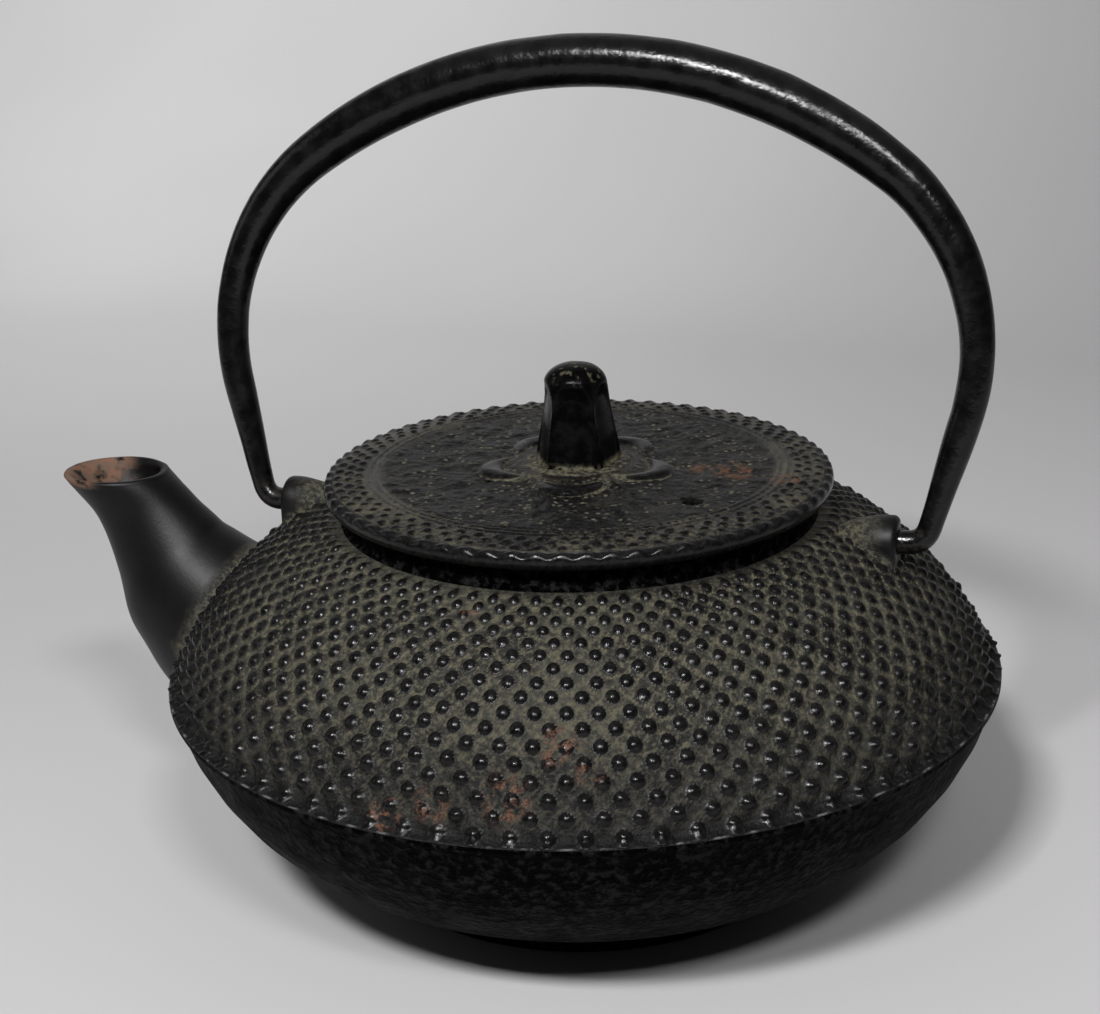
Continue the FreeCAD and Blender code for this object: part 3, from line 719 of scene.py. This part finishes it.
def pot_shell():
    """The pot without spout and ears, from the middle of its underside round to the middle inside."""
    shoulder, bumps, feet = hobnail_grid(FIRST_GRID_ROW, LAST_GRID_ROW)
    below = [(UNDERSIDE_RADIUS, 0.0)]
    below += [(FOOT_RADIUS - inward, height) for inward, height in FOOT_EDGE]
    below += [(FOOT_RADIUS, FOOT_HEIGHT - FOOT_FILLET)]
    below += arc(BOWL_MIDDLE, BOWL_RADIUS, *BOWL_TURN, 9).tolist()
    below += [(LIP_RADIUS - LIP_EDGE, LIP_BOTTOM - LIP_EDGE), (LIP_RADIUS, LIP_BOTTOM + LIP_EDGE),
              (LIP_RADIUS, LIP_TOP - LIP_ROUND), (LIP_RADIUS, LIP_TOP - LIP_EDGE)]
    neck_height = SHOULDER_MIDDLE[1] + SHOULDER_RADIUS * math.sin(math.radians(NECK_TURN))
    above = [(COLLAR_RADIUS + NECK_FILLET, neck_height + 0.05), (COLLAR_RADIUS, neck_height + NECK_FILLET),
             (COLLAR_RADIUS, COLLAR_TOP - COLLAR_EDGE), (COLLAR_RADIUS - COLLAR_EDGE, COLLAR_TOP),
             (LEDGE_RADIUS + COLLAR_EDGE, COLLAR_TOP), (LEDGE_RADIUS, COLLAR_TOP - COLLAR_EDGE),
             (LEDGE_RADIUS, LEDGE_HEIGHT), (MOUTH_RADIUS, LEDGE_HEIGHT)]
    above += arc(SHOULDER_MIDDLE, SHOULDER_RADIUS - WALL, *INNER_SHOULDER_TURN, 4).tolist()
    above += arc(BOWL_MIDDLE, BOWL_RADIUS - WALL, *INNER_BOWL_TURN, 4).tolist()
    under, over = (spread_rows(rows, COLUMNS, FIRST_BUMP) for rows in (below, above))
    grid = np.concatenate([under, shoulder, over])
    relief, dusty, packed, wear_and_painted_highlight = np.zeros((4, *grid.shape[:2]))
    first, last = len(below), len(below) + len(shoulder)
    relief[first:last] = bumps
    packed[first:last] = feet
    # Dust thins out towards the lip, whose edge between the bumps gets a painted highlight
    rows = np.arange(FIRST_GRID_ROW, LAST_GRID_ROW + 1)[:, None]
    dusty[first:last] = 0.35 * smooth(rows, -1, 5) + 0.65 * smooth(rows, 6, 34)
    dusty[last] = 0.6
    # Painted highlight: the lip's edge row takes a share of light grey between the bumps
    between = 0.5 - 0.5 * np.cos(np.arange(COLUMNS) / BUMP_STEPS * math.pi)
    wear_and_painted_highlight[first] = smooth(between, 0.55, 0.9)
    points, faces = mesh_from_grid(grid)
    marks = {"relief": relief, "dusty": dusty, "packed": packed, "wear_and_painted_highlight": wear_and_painted_highlight}
    shell = piece("pot_shell", points, faces, POT_IRON, "pot", "pot_body", marks)
    # Below the lip, and inside from the collar on, the iron is plain and black; on the collar under the
    # lid this dustless black is also painted shade
    plain = np.ones(len(faces))
    plain[(first - 1) * COLUMNS:last * COLUMNS] = 0
    second_material(shell, BOWL_IRON, plain)


def arc_radius(middle, radius, height):
    """Distance from Z of a turned arc at a height."""
    return middle[0] + np.sqrt(np.maximum(radius ** 2 - (height - middle[1]) ** 2, 0))


def pot_radius(height):
    """Outside radius of the pot, without hobnails, at a height."""
    upper = arc_radius(SHOULDER_MIDDLE, SHOULDER_RADIUS, height)
    lower = arc_radius(BOWL_MIDDLE, BOWL_RADIUS, height)
    return np.where(height > LIP_TOP, upper, lower)


# Spout


def smooth_path(corners, count):
    """Points of a smooth curve through corners of any number of values."""
    corners = np.asarray(corners, float)
    start, end = 2 * corners[:1] - corners[1:2], 2 * corners[-1:] - corners[-2:-1]
    padded = np.concatenate([start, corners, end])
    spans = len(corners) - 1
    at = np.linspace(0, spans, count)
    span = np.minimum(at.astype(int), spans - 1)
    share = (at - span)[:, None]
    before, here, there, after = (padded[span + step] for step in range(4))
    bend = 2 * before - 5 * here + 4 * there - after
    twist = 3 * here - before - 3 * there + after
    return 0.5 * (2 * here + (there - before) * share + bend * share ** 2 + twist * share ** 3)


def spout_rings(sections, turns, thinner=0.0):
    """Rings of the spout round its bending middle line. Turn 0 is on its outer, lower side."""
    middle_x, middle_z, half_depth, lean = sections.T[..., None]
    lean = np.radians(lean)
    depth = (half_depth - thinner) * np.cos(turns)
    width = (half_depth - thinner) * SPOUT_FLATNESS * np.sin(turns)
    return np.stack([middle_x - depth * np.cos(lean), width, middle_z - depth * np.sin(lean)], -1)


def pot_spout():
    """The spout from inside the pot to its lip, over the lip's rounding and back down inside."""
    turns = steps_round(SPOUT_COLUMNS)
    sections = smooth_path(SPOUT_SECTIONS, SPOUT_RINGS)
    lean = math.radians(sections[-1, 3])
    rings = [spout_rings(sections, turns)]
    for rise, thinner in SPOUT_LIP:
        raised = sections[-1:] + np.array([[-math.sin(lean) * rise, math.cos(lean) * rise, 0, 0]])
        rings.append(spout_rings(raised, turns, thinner))
    rings.append(spout_rings(sections[SPOUT_RINGS - 1:SPOUT_RINGS // 3:-2], turns, SPOUT_WALL))
    grid = np.concatenate(rings)
    # Dust gathers at the root, and the lip and the inside near it are rusty
    dusty, rusty = np.zeros((2, *grid.shape[:2]))
    away = np.hypot(grid[..., 0], grid[..., 1]) - pot_radius(grid[..., 2])
    dusty[:SPOUT_RINGS] = smooth(away[:SPOUT_RINGS], SPOUT_DUST_REACH, SPOUT_DUST_FULL)
    lip = SPOUT_RINGS - 2
    rusty[lip:] = smooth(grid[lip:, :, 0], *SPOUT_RUST)
    satin = smooth(away, SPOUT_DUST_FULL, SPOUT_DUST_REACH)
    points, faces = cast_mesh(grid, 0.05, 3.0, seed=8)
    marks = {"dusty": dusty, "packed": dusty, "rusty": rusty, "satin": satin}
    piece("pot_spout", points, faces, POT_IRON, "pot", "pot_body", marks)


# Ears


def pot_ear(name, side):
    """An ear on the left (side -1) or right (side 1), from its hook hole out and round to the pot."""
    turns = steps_round(EAR_COLUMNS)
    across, up = np.cos(turns), np.sin(turns)
    straight = EAR_HALF_WIDTH / np.maximum(np.abs(across), TINY), EAR_DEPTH / np.maximum(-up, TINY)
    outline = np.where(up >= 0, EAR_HALF_WIDTH, np.minimum(*straight))
    hole = np.full(EAR_COLUMNS, HOOK_HOLE_RADIUS)
    rings = [(EAR_FACE - HOOK_HOLE_DEPTH, hole), (EAR_FACE - HOOK_HOLE_BEVEL, hole),
             (EAR_FACE, hole + HOOK_HOLE_BEVEL)]
    for turn in np.radians(np.linspace(90, 0, 6)):
        inset = EAR_EDGE * (1 - math.cos(turn))
        rings.append((EAR_FACE - EAR_EDGE * (1 - math.sin(turn)), outline - inset))
    for share in np.linspace(0.1, 1, 8):
        along = EAR_FACE - EAR_EDGE - share * (EAR_FACE - EAR_EDGE - EAR_INNER)
        rings.append((along, outline * (1 - EAR_NARROWING * share ** 2)))
    grid = np.zeros((len(rings), EAR_COLUMNS, 3))
    for ring, (along, radius) in zip(grid, rings):
        ring[:, 0] = side * along
        ring[:, 1] = radius * across
        ring[:, 2] = PIVOT_HEIGHT + radius * up
    # Dust lies where the ear meets the shoulder and on its inner part
    outward = np.abs(grid[..., 0])
    shoulder = SHOULDER_MIDDLE[1] + np.sqrt(SHOULDER_RADIUS ** 2 - (outward - SHOULDER_MIDDLE[0]) ** 2)
    inner = smooth(outward, EAR_FACE - 1.0, EAR_FACE - 5.0)
    dusty = np.maximum(smooth(grid[..., 2] - shoulder, 2.2, 0.3), 0.85 * inner)
    points, faces = cast_mesh(grid, 0.07, 1.8, seed=9)
    marks = {"dusty": dusty, "packed": dusty, "satin": 1 - dusty}
    piece(name, points, faces, POT_IRON, "pot", "pot_body", marks)


# Lid: a turned plate with a beaded border, a wavy edge, a pitted top and a skirt


def lid_fall(radius):
    """How far the lid's rounded border has dropped below its flat top at a radius."""
    outward = np.maximum(radius - LID_FLAT_RADIUS, 0) / (LID_BEVEL_RADIUS - LID_FLAT_RADIUS)
    return LID_BORDER_FALL * outward ** 2


def lid_rows(edge, top, skirt_bottom):
    """The lid's turned outline from below round to its top, and the number of rows before the top."""
    rows = [(LID_UNDERSIDE_RADIUS, LID_UNDERSIDE), (SKIRT_INNER - SKIRT_FILLET, LID_UNDERSIDE),
            (SKIRT_INNER, LID_UNDERSIDE - SKIRT_FILLET), (SKIRT_INNER, skirt_bottom + SKIRT_EDGE),
            (SKIRT_INNER + SKIRT_EDGE, skirt_bottom), (SKIRT_OUTER - SKIRT_EDGE, skirt_bottom),
            (SKIRT_OUTER, skirt_bottom + SKIRT_EDGE), (SKIRT_OUTER, COLLAR_TOP),
            (LID_SEAT_RADIUS, COLLAR_TOP)]
    rows += [(edge - inward, COLLAR_TOP + rise) for inward, rise in LID_SIDE]
    field = np.concatenate([np.arange(*span) for span in LID_TOP_ROWS])
    return rows + [(radius, top - LID_TOP_DEPTH - lid_fall(radius)) for radius in field], len(rows)


def lid():
    """The lid with its beads, ridges and pits, drilled for steam."""
    low, high = box_mm("lid")
    top = high[2]
    rows, flat = lid_rows(high[0], top, low[2])
    grid = spread_rows(rows, LID_COLUMNS)
    turns = steps_round(LID_COLUMNS)
    radius = np.hypot(grid[..., 0], grid[..., 1])
    border = radius[flat:]
    # Wavy edge, then staggered bead rows and two fine ridges inside it
    at_edge = smooth(radius, LID_BEVEL_RADIUS - LID_WAVE_WIDTH, LID_BEVEL_RADIUS)
    at_edge[:flat - 1] = 0
    lift = LID_WAVE * at_edge * np.cos(turns * LID_SCALLOPS)
    relief, dusty, pitted = np.zeros((3, *grid.shape[:2]))
    relief[:flat] = 1
    relief[flat:] = at_edge[flat:]
    pitch = FULL_TURN / LID_SCALLOPS
    for number, distance in enumerate(LID_BEAD_ROWS):
        stagger = 0.5 * (number % 2)
        across = (np.mod(turns / pitch + stagger + 0.5, 1) - 0.5) * pitch * distance
        bead = dome(np.hypot(across[None, :], border - distance) / LID_BEAD_RADIUS)
        lift[flat:] += LID_BEAD_RISE * bead
        relief[flat:] = np.maximum(relief[flat:], bead)
    for distance in LID_RIDGES:
        ridge = np.exp(-((border - distance) / LID_RIDGE_WIDTH) ** 2)
        lift[flat:] += LID_RIDGE_RISE * ridge
        relief[flat:] = np.maximum(relief[flat:], 0.5 * ridge)
    inner = smooth(radius, *LID_FIELD_EDGE)
    rough = 0.20 * grain(grid, 1.25, seed=5) + 0.17 * grain(grid, 2.6, seed=6)
    lift[flat:] += ((0.2 + 0.8 * inner) * rough)[flat:]
    grid[..., 2] += lift
    dusty[flat:] = 0.15 + 0.50 * smooth(border, 26.5, 29.0)
    pitted[flat:] = inner[flat:]
    relief[flat:] = np.maximum(relief[flat:], (inner * (0.45 + 1.6 * rough))[flat:])
    points, faces = mesh_from_grid(grid)
    marks = {"relief": relief, "dusty": dusty, "pitted": pitted}
    plate = piece("lid_plate", points, faces, LID_IRON, "lid", "lid", marks)
    # The wavy edge has the glossier iron of the hobnails
    glossy = np.zeros(len(faces))
    glossy[(flat - LID_GLOSSY_ROWS) * LID_COLUMNS:(flat + LID_GLOSSY_ROWS) * LID_COLUMNS] = 1
    second_material(plate, POT_IRON, glossy)
    drill_steam_hole(plate, top)


def drill_steam_hole(plate, top):
    """Cuts the steam hole with a slightly flared, rounded cutter."""
    grid = spread_rows([(radius, top + rise) for radius, rise in STEAM_CUTTER], STEAM_COLUMNS)
    grid[..., :2] += STEAM_HOLE
    cutter = in_scene("steam_hole_cutter", mesh_mm("steam_hole_cutter", *mesh_from_grid(grid)))
    cut = plate.modifiers.new("steam_hole", "BOOLEAN")
    cut.operation = "DIFFERENCE"
    cut.solver = "EXACT"
    cut.object = cutter
    bpy.context.view_layer.update()
    result = bpy.data.meshes.new_from_object(plate.evaluated_get(bpy.context.evaluated_depsgraph_get()))
    plate.modifiers.remove(cut)
    plate.data = result
    bpy.data.objects.remove(cutter)


# Blossom seat and knob


def petal_turn(turns):
    """Angle of each turn from the middle of its petal, and the angle from petal to petal."""
    step = FULL_TURN / PETALS
    return np.mod(turns - math.radians(FIRST_PETAL) + step / 2, step) - step / 2, step


def knob_seat():
    """A five-petal blossom with a bead near the tip of each petal and dust round beads and knob."""
    low, high = box_mm("knob_seat")
    turns = steps_round(BLOSSOM_COLUMNS)
    aside, step = petal_turn(turns)
    across = PETAL_DISTANCE * np.sin(aside)
    edge = PETAL_DISTANCE * np.cos(aside) + np.sqrt(PETAL_RADIUS ** 2 - across ** 2)
    inset = np.concatenate([np.arange(0, 4.4, 0.2), np.arange(4.6, 9.0, 0.6)])[:, None]
    radius = np.maximum(edge - inset, SEAT_MIDDLE_RADIUS)
    thick = high[2] - low[2]
    reach = np.hypot((inset - PETAL_BEAD_INSET) / PETAL_BEAD_DEPTH, aside / (PETAL_BEAD_SHARE * step))
    bead = np.sqrt(np.clip(1 - reach ** 2, 0, 1))
    groove = smooth(reach, 0.85, 1.0) * smooth(reach, 1.6, 1.15)
    rise = smooth(radius, *SEAT_SLOPE)
    raised = LID_TOP_DEPTH * rise + thick * (0.06 + 0.60 * rise + 0.90 * bead)
    height = low[2] - LID_TOP_DEPTH + smooth(inset, -0.1, 0.9) * raised
    skin = round_z(radius, turns, height)
    # One more ring stands below the outline, buried in the lid
    grid = np.concatenate([skin[:1], skin])
    grid[0, :, 2] = low[2] - SEAT_BURIED
    dusty, relief, pitted = np.zeros((3, *grid.shape[:2]))
    ring = smooth(radius, 8.0, 7.3)
    dusty[1:] = np.maximum(np.maximum(0.15, ring), groove)
    relief[1:] = smooth(bead, 0.1, 0.5) * (1 - ring)
    pitted[1:] = np.maximum(ring, smooth(radius, 7.5, 9.0) * (1 - relief[1:]))
    points, faces = cast_mesh(grid, 0.05, 1.2, seed=11)
    marks = {"dusty": dusty, "relief": relief, "pitted": pitted}
    piece("knob_blossom", points, faces, LID_IRON, "lid", "knob_seat", marks)


def knob():
    """A tapering peg with a domed top and five hollow faces, one for each petal."""
    aside, step = petal_turn(steps_round(BLOSSOM_COLUMNS))
    aside = np.abs(aside / (step / 2))
    foot, crown = box_mm("knob_seat")[1][2], box_mm("knob")[1][2]
    shaft_top = crown - KNOB_DOME
    rows = [(KNOB_FOOT_RADIUS - inward, foot - below) for inward, below in KNOB_ROOT]
    rows += np.linspace((KNOB_FOOT_RADIUS, foot), (KNOB_TOP_RADIUS, shaft_top), 30).tolist()
    for turn in np.radians(np.linspace(*KNOB_DOME_TURN, 14)):
        radius = KNOB_TOP_RADIUS * math.cos(turn) ** KNOB_DOME_POWER
        rows.append((radius, shaft_top + KNOB_DOME * math.sin(turn)))
    grid = spread_rows(rows, BLOSSOM_COLUMNS)
    height = grid[..., 2]
    # Each hollow face ends in an arch below the dome
    arch = crown - KNOB_ARCH_TOP - KNOB_ARCH_HEIGHT * aside ** KNOB_ARCH_POWER
    hollow = smooth(height, arch + 0.8, arch - 2.2) * smooth(height, foot - 1.5, foot + 0.5)
    valley = np.sqrt(np.clip(1 - aside ** 2, 0, 1))
    grid[..., :2] *= (1 - hollow * KNOB_HOLLOW * valley)[..., None]
    dusty = smooth(height, foot + 0.5, foot)
    pitted = smooth(height, crown - 2.6, crown - 1.0)
    points, faces = cast_mesh(grid, 0.04, 1.6, seed=12)
    marks = {"dusty": dusty, "pitted": pitted}
    piece("knob_fluted", points, faces, KNOB_IRON, "lid", "knob", marks)


# Bail handle: one tapering rod, bent to an arch with a hook at each end


def bail_path():
    """Middle line of half the bail in its own plane, from the top of the arch to the hook's end."""
    arch = arc((0, -BAIL_ARCH_DROP), BAIL_ARCH_RADIUS, 90, BAIL_ARCH_END, ARCH_POINTS)
    away = BAIL_ARCH_RADIUS - BAIL_BEND_RADIUS
    end = math.radians(BAIL_ARCH_END)
    middle = (away * math.cos(end), -BAIL_ARCH_DROP + away * math.sin(end))
    bend = arc(middle, BAIL_BEND_RADIUS, BAIL_ARCH_END, -BAIL_ARM_SLANT, BEND_POINTS)
    slant = math.radians(BAIL_ARM_SLANT)
    corner = np.array([BAIL_ARM_TOP[0] - BAIL_ARM_TOP[1] * math.tan(slant), 0.0])
    cut = BAIL_HOOK_BEND * math.tan(math.radians(45) + slant / 2) * BAIL_HOOK_CUT
    arm_end = corner + np.array([cut * math.sin(slant), cut * math.cos(slant)])
    hook_start = corner - np.array([cut, 0.0])
    arm = np.linspace(bend[-1], arm_end, ARM_POINTS)
    share = np.linspace(0, 1, 10)[:, None]
    curve = (1 - share) ** 2 * arm_end + 2 * share * (1 - share) * corner + share ** 2 * hook_start
    hook = np.linspace(hook_start, (BAIL_HOOK_END, 0.0), 5)
    return np.concatenate([arch, bend[1:], arm[1:], curve[1:], hook[1:]])


def bail():
    """The bail, thick at the grip and thin at the hooks, leaning back as in the photograph."""
    half = bail_path()
    length = np.concatenate([[0], np.cumsum(np.hypot(*np.diff(half, axis=0).T))])
    bend_start, arm_start, arm_end = length[np.cumsum([ARCH_POINTS, BEND_POINTS, ARM_POINTS]) - (1, 2, 3)]
    taper = GRIP_RADIUS + (ARM_RADIUS - GRIP_RADIUS) * smooth(length, GRIP_SHARE * bend_start, arm_start)
    taper += (HOOK_RADIUS - ARM_RADIUS) * smooth(length, arm_start, arm_end)
    path = np.concatenate([half[::-1] * (-1, 1), half[1:]])
    radius = np.concatenate([taper[::-1], taper[1:]])
    reach = np.concatenate([length[::-1], length[1:]])
    forward = np.gradient(path, axis=0)
    forward /= np.hypot(*forward.T)[:, None]
    turns = steps_round(BAIL_COLUMNS)
    out = radius[:, None] * np.cos(turns)
    side = radius[:, None] * np.sin(turns)
    along = path[:, :1] - forward[:, 1:] * out
    upright = path[:, 1:] + forward[:, :1] * out
    lean = math.radians(BAIL_LEAN)
    back = upright * math.sin(lean) + side * math.cos(lean)
    height = PIVOT_HEIGHT + upright * math.cos(lean) - side * math.sin(lean)
    points, faces = cast_mesh(np.stack([along, back, height], -1), 0.05, 4.0, seed=13)
    wear_and_painted_highlight = np.repeat(smooth(reach, arm_end - 2, arm_end + 3), BAIL_COLUMNS)
    piece("bail_rod", points, faces, BAIL_LACQUER, "bail", "bail_handle", {"wear_and_painted_highlight": wear_and_painted_highlight})


# Strainer basket: rolled rim, drilled wall and drilled floor


def weld(points, faces):
    """Joins points that lie on one another. A side whose ends are joined is dropped."""
    _, kept, same = np.unique(points.round(4) + 0.0, axis=0, return_index=True, return_inverse=True)
    same = same.reshape(-1)
    return points[kept], [list(dict.fromkeys(int(same[corner]) for corner in face)) for face in faces]


def holed_sheet(across, holes):
    """A sheet of square cells, with a row of cells for each hole (share across, share up).
    Returns points in cells, quads and the edges of the holes."""
    steps = np.arange(HOLE_SIDES)
    square = []
    for turned in (0, CELL_SIDES):
        away = np.abs((steps - turned + 2 * CELL_SIDES) % HOLE_SIDES - 2 * CELL_SIDES)
        square.append(np.clip(1 - away / CELL_SIDES, -0.5, 0.5))
    square = np.stack(square, 1)
    turns = steps_round(HOLE_SIDES)
    ring = np.stack([np.cos(turns), np.sin(turns)], 1)
    points, quads, edges = [], [], []
    for row, hole in enumerate(holes):
        for column in range(across):
            start = len(points)
            inner = start + HOLE_SIDES
            middle = np.array([column + 0.5, row + 0.5])
            points.extend(middle + square)
            points.extend(middle + ring * hole)
            for step in range(HOLE_SIDES):
                beside = (step + 1) % HOLE_SIDES
                quads.append([start + step, start + beside, inner + beside, inner + step])
                edges.append((inner + step, inner + beside))
    return np.array(points), quads, edges


def drilled_wall(skins, quads, edges, bands):
    """Two skins of a holed sheet, the walls of its holes, and bands of rings that close the rest."""
    count = len(skins[0])
    faces = quads + [[corner + count for corner in reversed(quad)] for quad in quads]
    faces += [[first, second, second + count, first + count] for first, second in edges]
    points = np.concatenate(skins)
    for band in bands:
        faces += [[corner + len(points) for corner in face] for face in ring_faces(*band.shape[:2])]
        points = np.concatenate([points, band.reshape(-1, 3)])
    return weld(points, faces)


def infuser_wall():
    """The basket's drilled tube, plain along its top and bottom."""
    low, high = box_mm("infuser_wall")
    outer = high[0]
    inner = outer - STRAINER_SHEET
    bottom, top = low[2] + STRAINER_MARGIN, high[2] - STRAINER_MARGIN
    pitch = FULL_TURN * outer / STRAINER_HOLES_ROUND
    rise = (top - bottom) / STRAINER_HOLE_ROWS
    holes = [(STRAINER_HOLE / pitch, STRAINER_HOLE / rise)] * STRAINER_HOLE_ROWS
    flat, quads, edges = holed_sheet(STRAINER_HOLES_ROUND, holes)
    turn = flat[:, 0] / STRAINER_HOLES_ROUND * FULL_TURN
    skins = [round_z(radius, turn, bottom + flat[:, 1] * rise) for radius in (outer, inner)]
    bands = []
    for joint, end in ((bottom, low[2]), (top, high[2])):
        rows = [(inner, joint), (inner, end), (outer, end), (outer, joint)]
        bands.append(spread_rows(rows, STRAINER_HOLES_ROUND * CELL_SIDES))
    points, faces = drilled_wall(skins, quads, edges, bands)
    piece("strainer_wall", points, faces, STRAINER_STEEL, "infuser", "infuser_wall")


def infuser_rim():
    """The ring that hangs in the pot's collar, rolled over at its outer edge."""
    low, high = box_mm("infuser_rim")
    outer, inner = high[0], STRAINER_RIM_INNER
    bead = (high[2] - low[2]) / 2
    middle = (low[2] + high[2]) / 2
    rows = [(inner, low[2]), (inner, middle), (inner + 0.2, high[2] - 0.1), (inner + 0.5, high[2]),
            (outer - 2 * bead, high[2] - 0.15)]
    rows += arc((outer - bead, middle), bead, 110, -160, 14).tolist()
    points, faces = mesh_from_grid(spread_rows(rows, 160), closed=True)
    piece("strainer_rim", points, faces, STRAINER_STEEL, "infuser", "infuser_rim")


def infuser_base():
    """The basket's floor, drilled in rings between a plain middle and a plain edge."""
    low, high = box_mm("infuser_base")
    bottom, top, rim = low[2], high[2], high[0]
    edge = rim - STRAINER_MARGIN
    step = (edge - FLOOR_PLAIN_RADIUS) / FLOOR_HOLE_RINGS
    middles = FLOOR_PLAIN_RADIUS + step * (np.arange(FLOOR_HOLE_RINGS) + 0.5)
    pitches = FULL_TURN * middles / FLOOR_HOLES_ROUND
    holes = [(STRAINER_HOLE / pitch, STRAINER_HOLE / step) for pitch in pitches]
    flat, quads, edges = holed_sheet(FLOOR_HOLES_ROUND, holes)
    turn = flat[:, 0] / FLOOR_HOLES_ROUND * FULL_TURN
    radius = FLOOR_PLAIN_RADIUS + flat[:, 1] * step
    skins = [round_z(radius, turn, height) for height in (bottom, top)]
    outside = [(edge, bottom), (rim - FLOOR_EDGE, bottom), (rim, bottom + FLOOR_EDGE),
               (rim, top), (edge, top)]
    under = [(FLOOR_PLAIN_RADIUS, bottom), (0.0, bottom)]
    over = [(0.0, top), (FLOOR_PLAIN_RADIUS, top)]
    bands = [spread_rows(rows, FLOOR_HOLES_ROUND * CELL_SIDES) for rows in (outside, under, over)]
    points, faces = drilled_wall(skins, quads, edges, bands)
    piece("strainer_floor", points, faces, STRAINER_STEEL, "infuser", "infuser_base")


pot_shell()
pot_spout()
pot_ear("pot_ear_left", -1)
pot_ear("pot_ear_right", 1)
lid()
knob_seat()
knob()
bail()
infuser_wall()
infuser_rim()
infuser_base()
washer = frame["nodes"]["knob_washer"]
washer.data.materials.clear()
washer.data.materials.append(STRAINER_STEEL)


# Stage, camera and light


def stage_paper():
    """Pale paper with a painted falloff of light: lighter behind the pot on the left than on the right."""
    make = Surface("stage_paper")
    cloud = make.noise(160.0, 2.0, 0.4)
    place = make.node("ShaderNodeSeparateXYZ", Vector=make.place).outputs
    # Painted light: the backdrop is painted lighter on the left and darker on the right
    back = make.mix(BACKDROP_PAINTED_LIT_LEFT, BACKDROP_PAINTED_SHADE_RIGHT, make.ease(place["X"], -0.32, 0.16))
    color = make.mix(FLOOR_PAPER, back, make.ease(place["Y"], 0.02, 0.42))
    color = make.mix(color, PAPER_CLOUD, make.ease(cloud, 0.3, 0.7, 0.0, 0.15))
    return make.finish(color, 0.8, make.bump(make.noise(0.8, 2.0), 0.01), Specular_IOR_Level=0.25)


def stage():
    """A pale table that sweeps up into a backdrop behind the pot."""
    middle = (STAGE_FLOOR[-1][0], STAGE_SWEEP_RADIUS)
    sweep = [*STAGE_FLOOR, *arc(middle, STAGE_SWEEP_RADIUS, -82, 0, 12), STAGE_TOP]
    sides = (-STAGE_HALF_WIDTH, STAGE_HALF_WIDTH)
    points = np.array([(side, depth, height) for depth, height in sweep for side in sides])
    faces = [[start, start + 1, start + 3, start + 2] for start in range(0, len(points) - 2, 2)]
    mesh = mesh_mm("stage", points, faces)
    mesh.shade_smooth()
    mesh.materials.append(stage_paper())
    shown = in_scene("stage", mesh)


def camera():
    """The camera, where the photograph was taken from."""
    eye = bpy.data.cameras.new("camera")
    eye.lens = CAMERA_LENS
    eye.sensor_width = CAMERA_SENSOR
    eye.clip_start = CAMERA_NEAREST * MM
    shown = in_scene("camera", eye)
    turn = Matrix.Rotation(math.radians(CAMERA_HEADING), 4, "Z")
    turn = turn @ Matrix.Rotation(math.radians(90 - CAMERA_DOWN), 4, "X")
    turn = turn @ Matrix.Rotation(math.radians(CAMERA_ROLL), 4, "Z")
    shown.matrix_world = Matrix.Translation(Vector(CAMERA_PLACE) * MM) @ turn
    bpy.context.scene.camera = shown


def softbox(name, place, aim_height, size, watts):
    """A rectangular light that faces a point on the pot's axis."""
    lamp = bpy.data.lights.new(name, "AREA")
    lamp.shape = "RECTANGLE"
    lamp.size, lamp.size_y = size[0] * MM, size[1] * MM
    lamp.energy = watts
    shown = in_scene(name, lamp)
    look = Vector((0, 0, aim_height)) - Vector(place)
    turn = look.to_track_quat("-Z", "Y").to_matrix().to_4x4()
    shown.matrix_world = Matrix.Translation(Vector(place) * MM) @ turn


def world():
    """A dim, even sky."""
    sky = bpy.data.worlds.new("studio")
    sky.use_nodes = True
    background = sky.node_tree.nodes["Background"]
    background.inputs["Color"].default_value = SKY
    background.inputs["Strength"].default_value = SKY_STRENGTH
    bpy.context.scene.world = sky


stage()
camera()
world()
for light in LIGHTS:
    softbox(*light)
bpy.context.scene.view_settings.view_transform = "Standard"
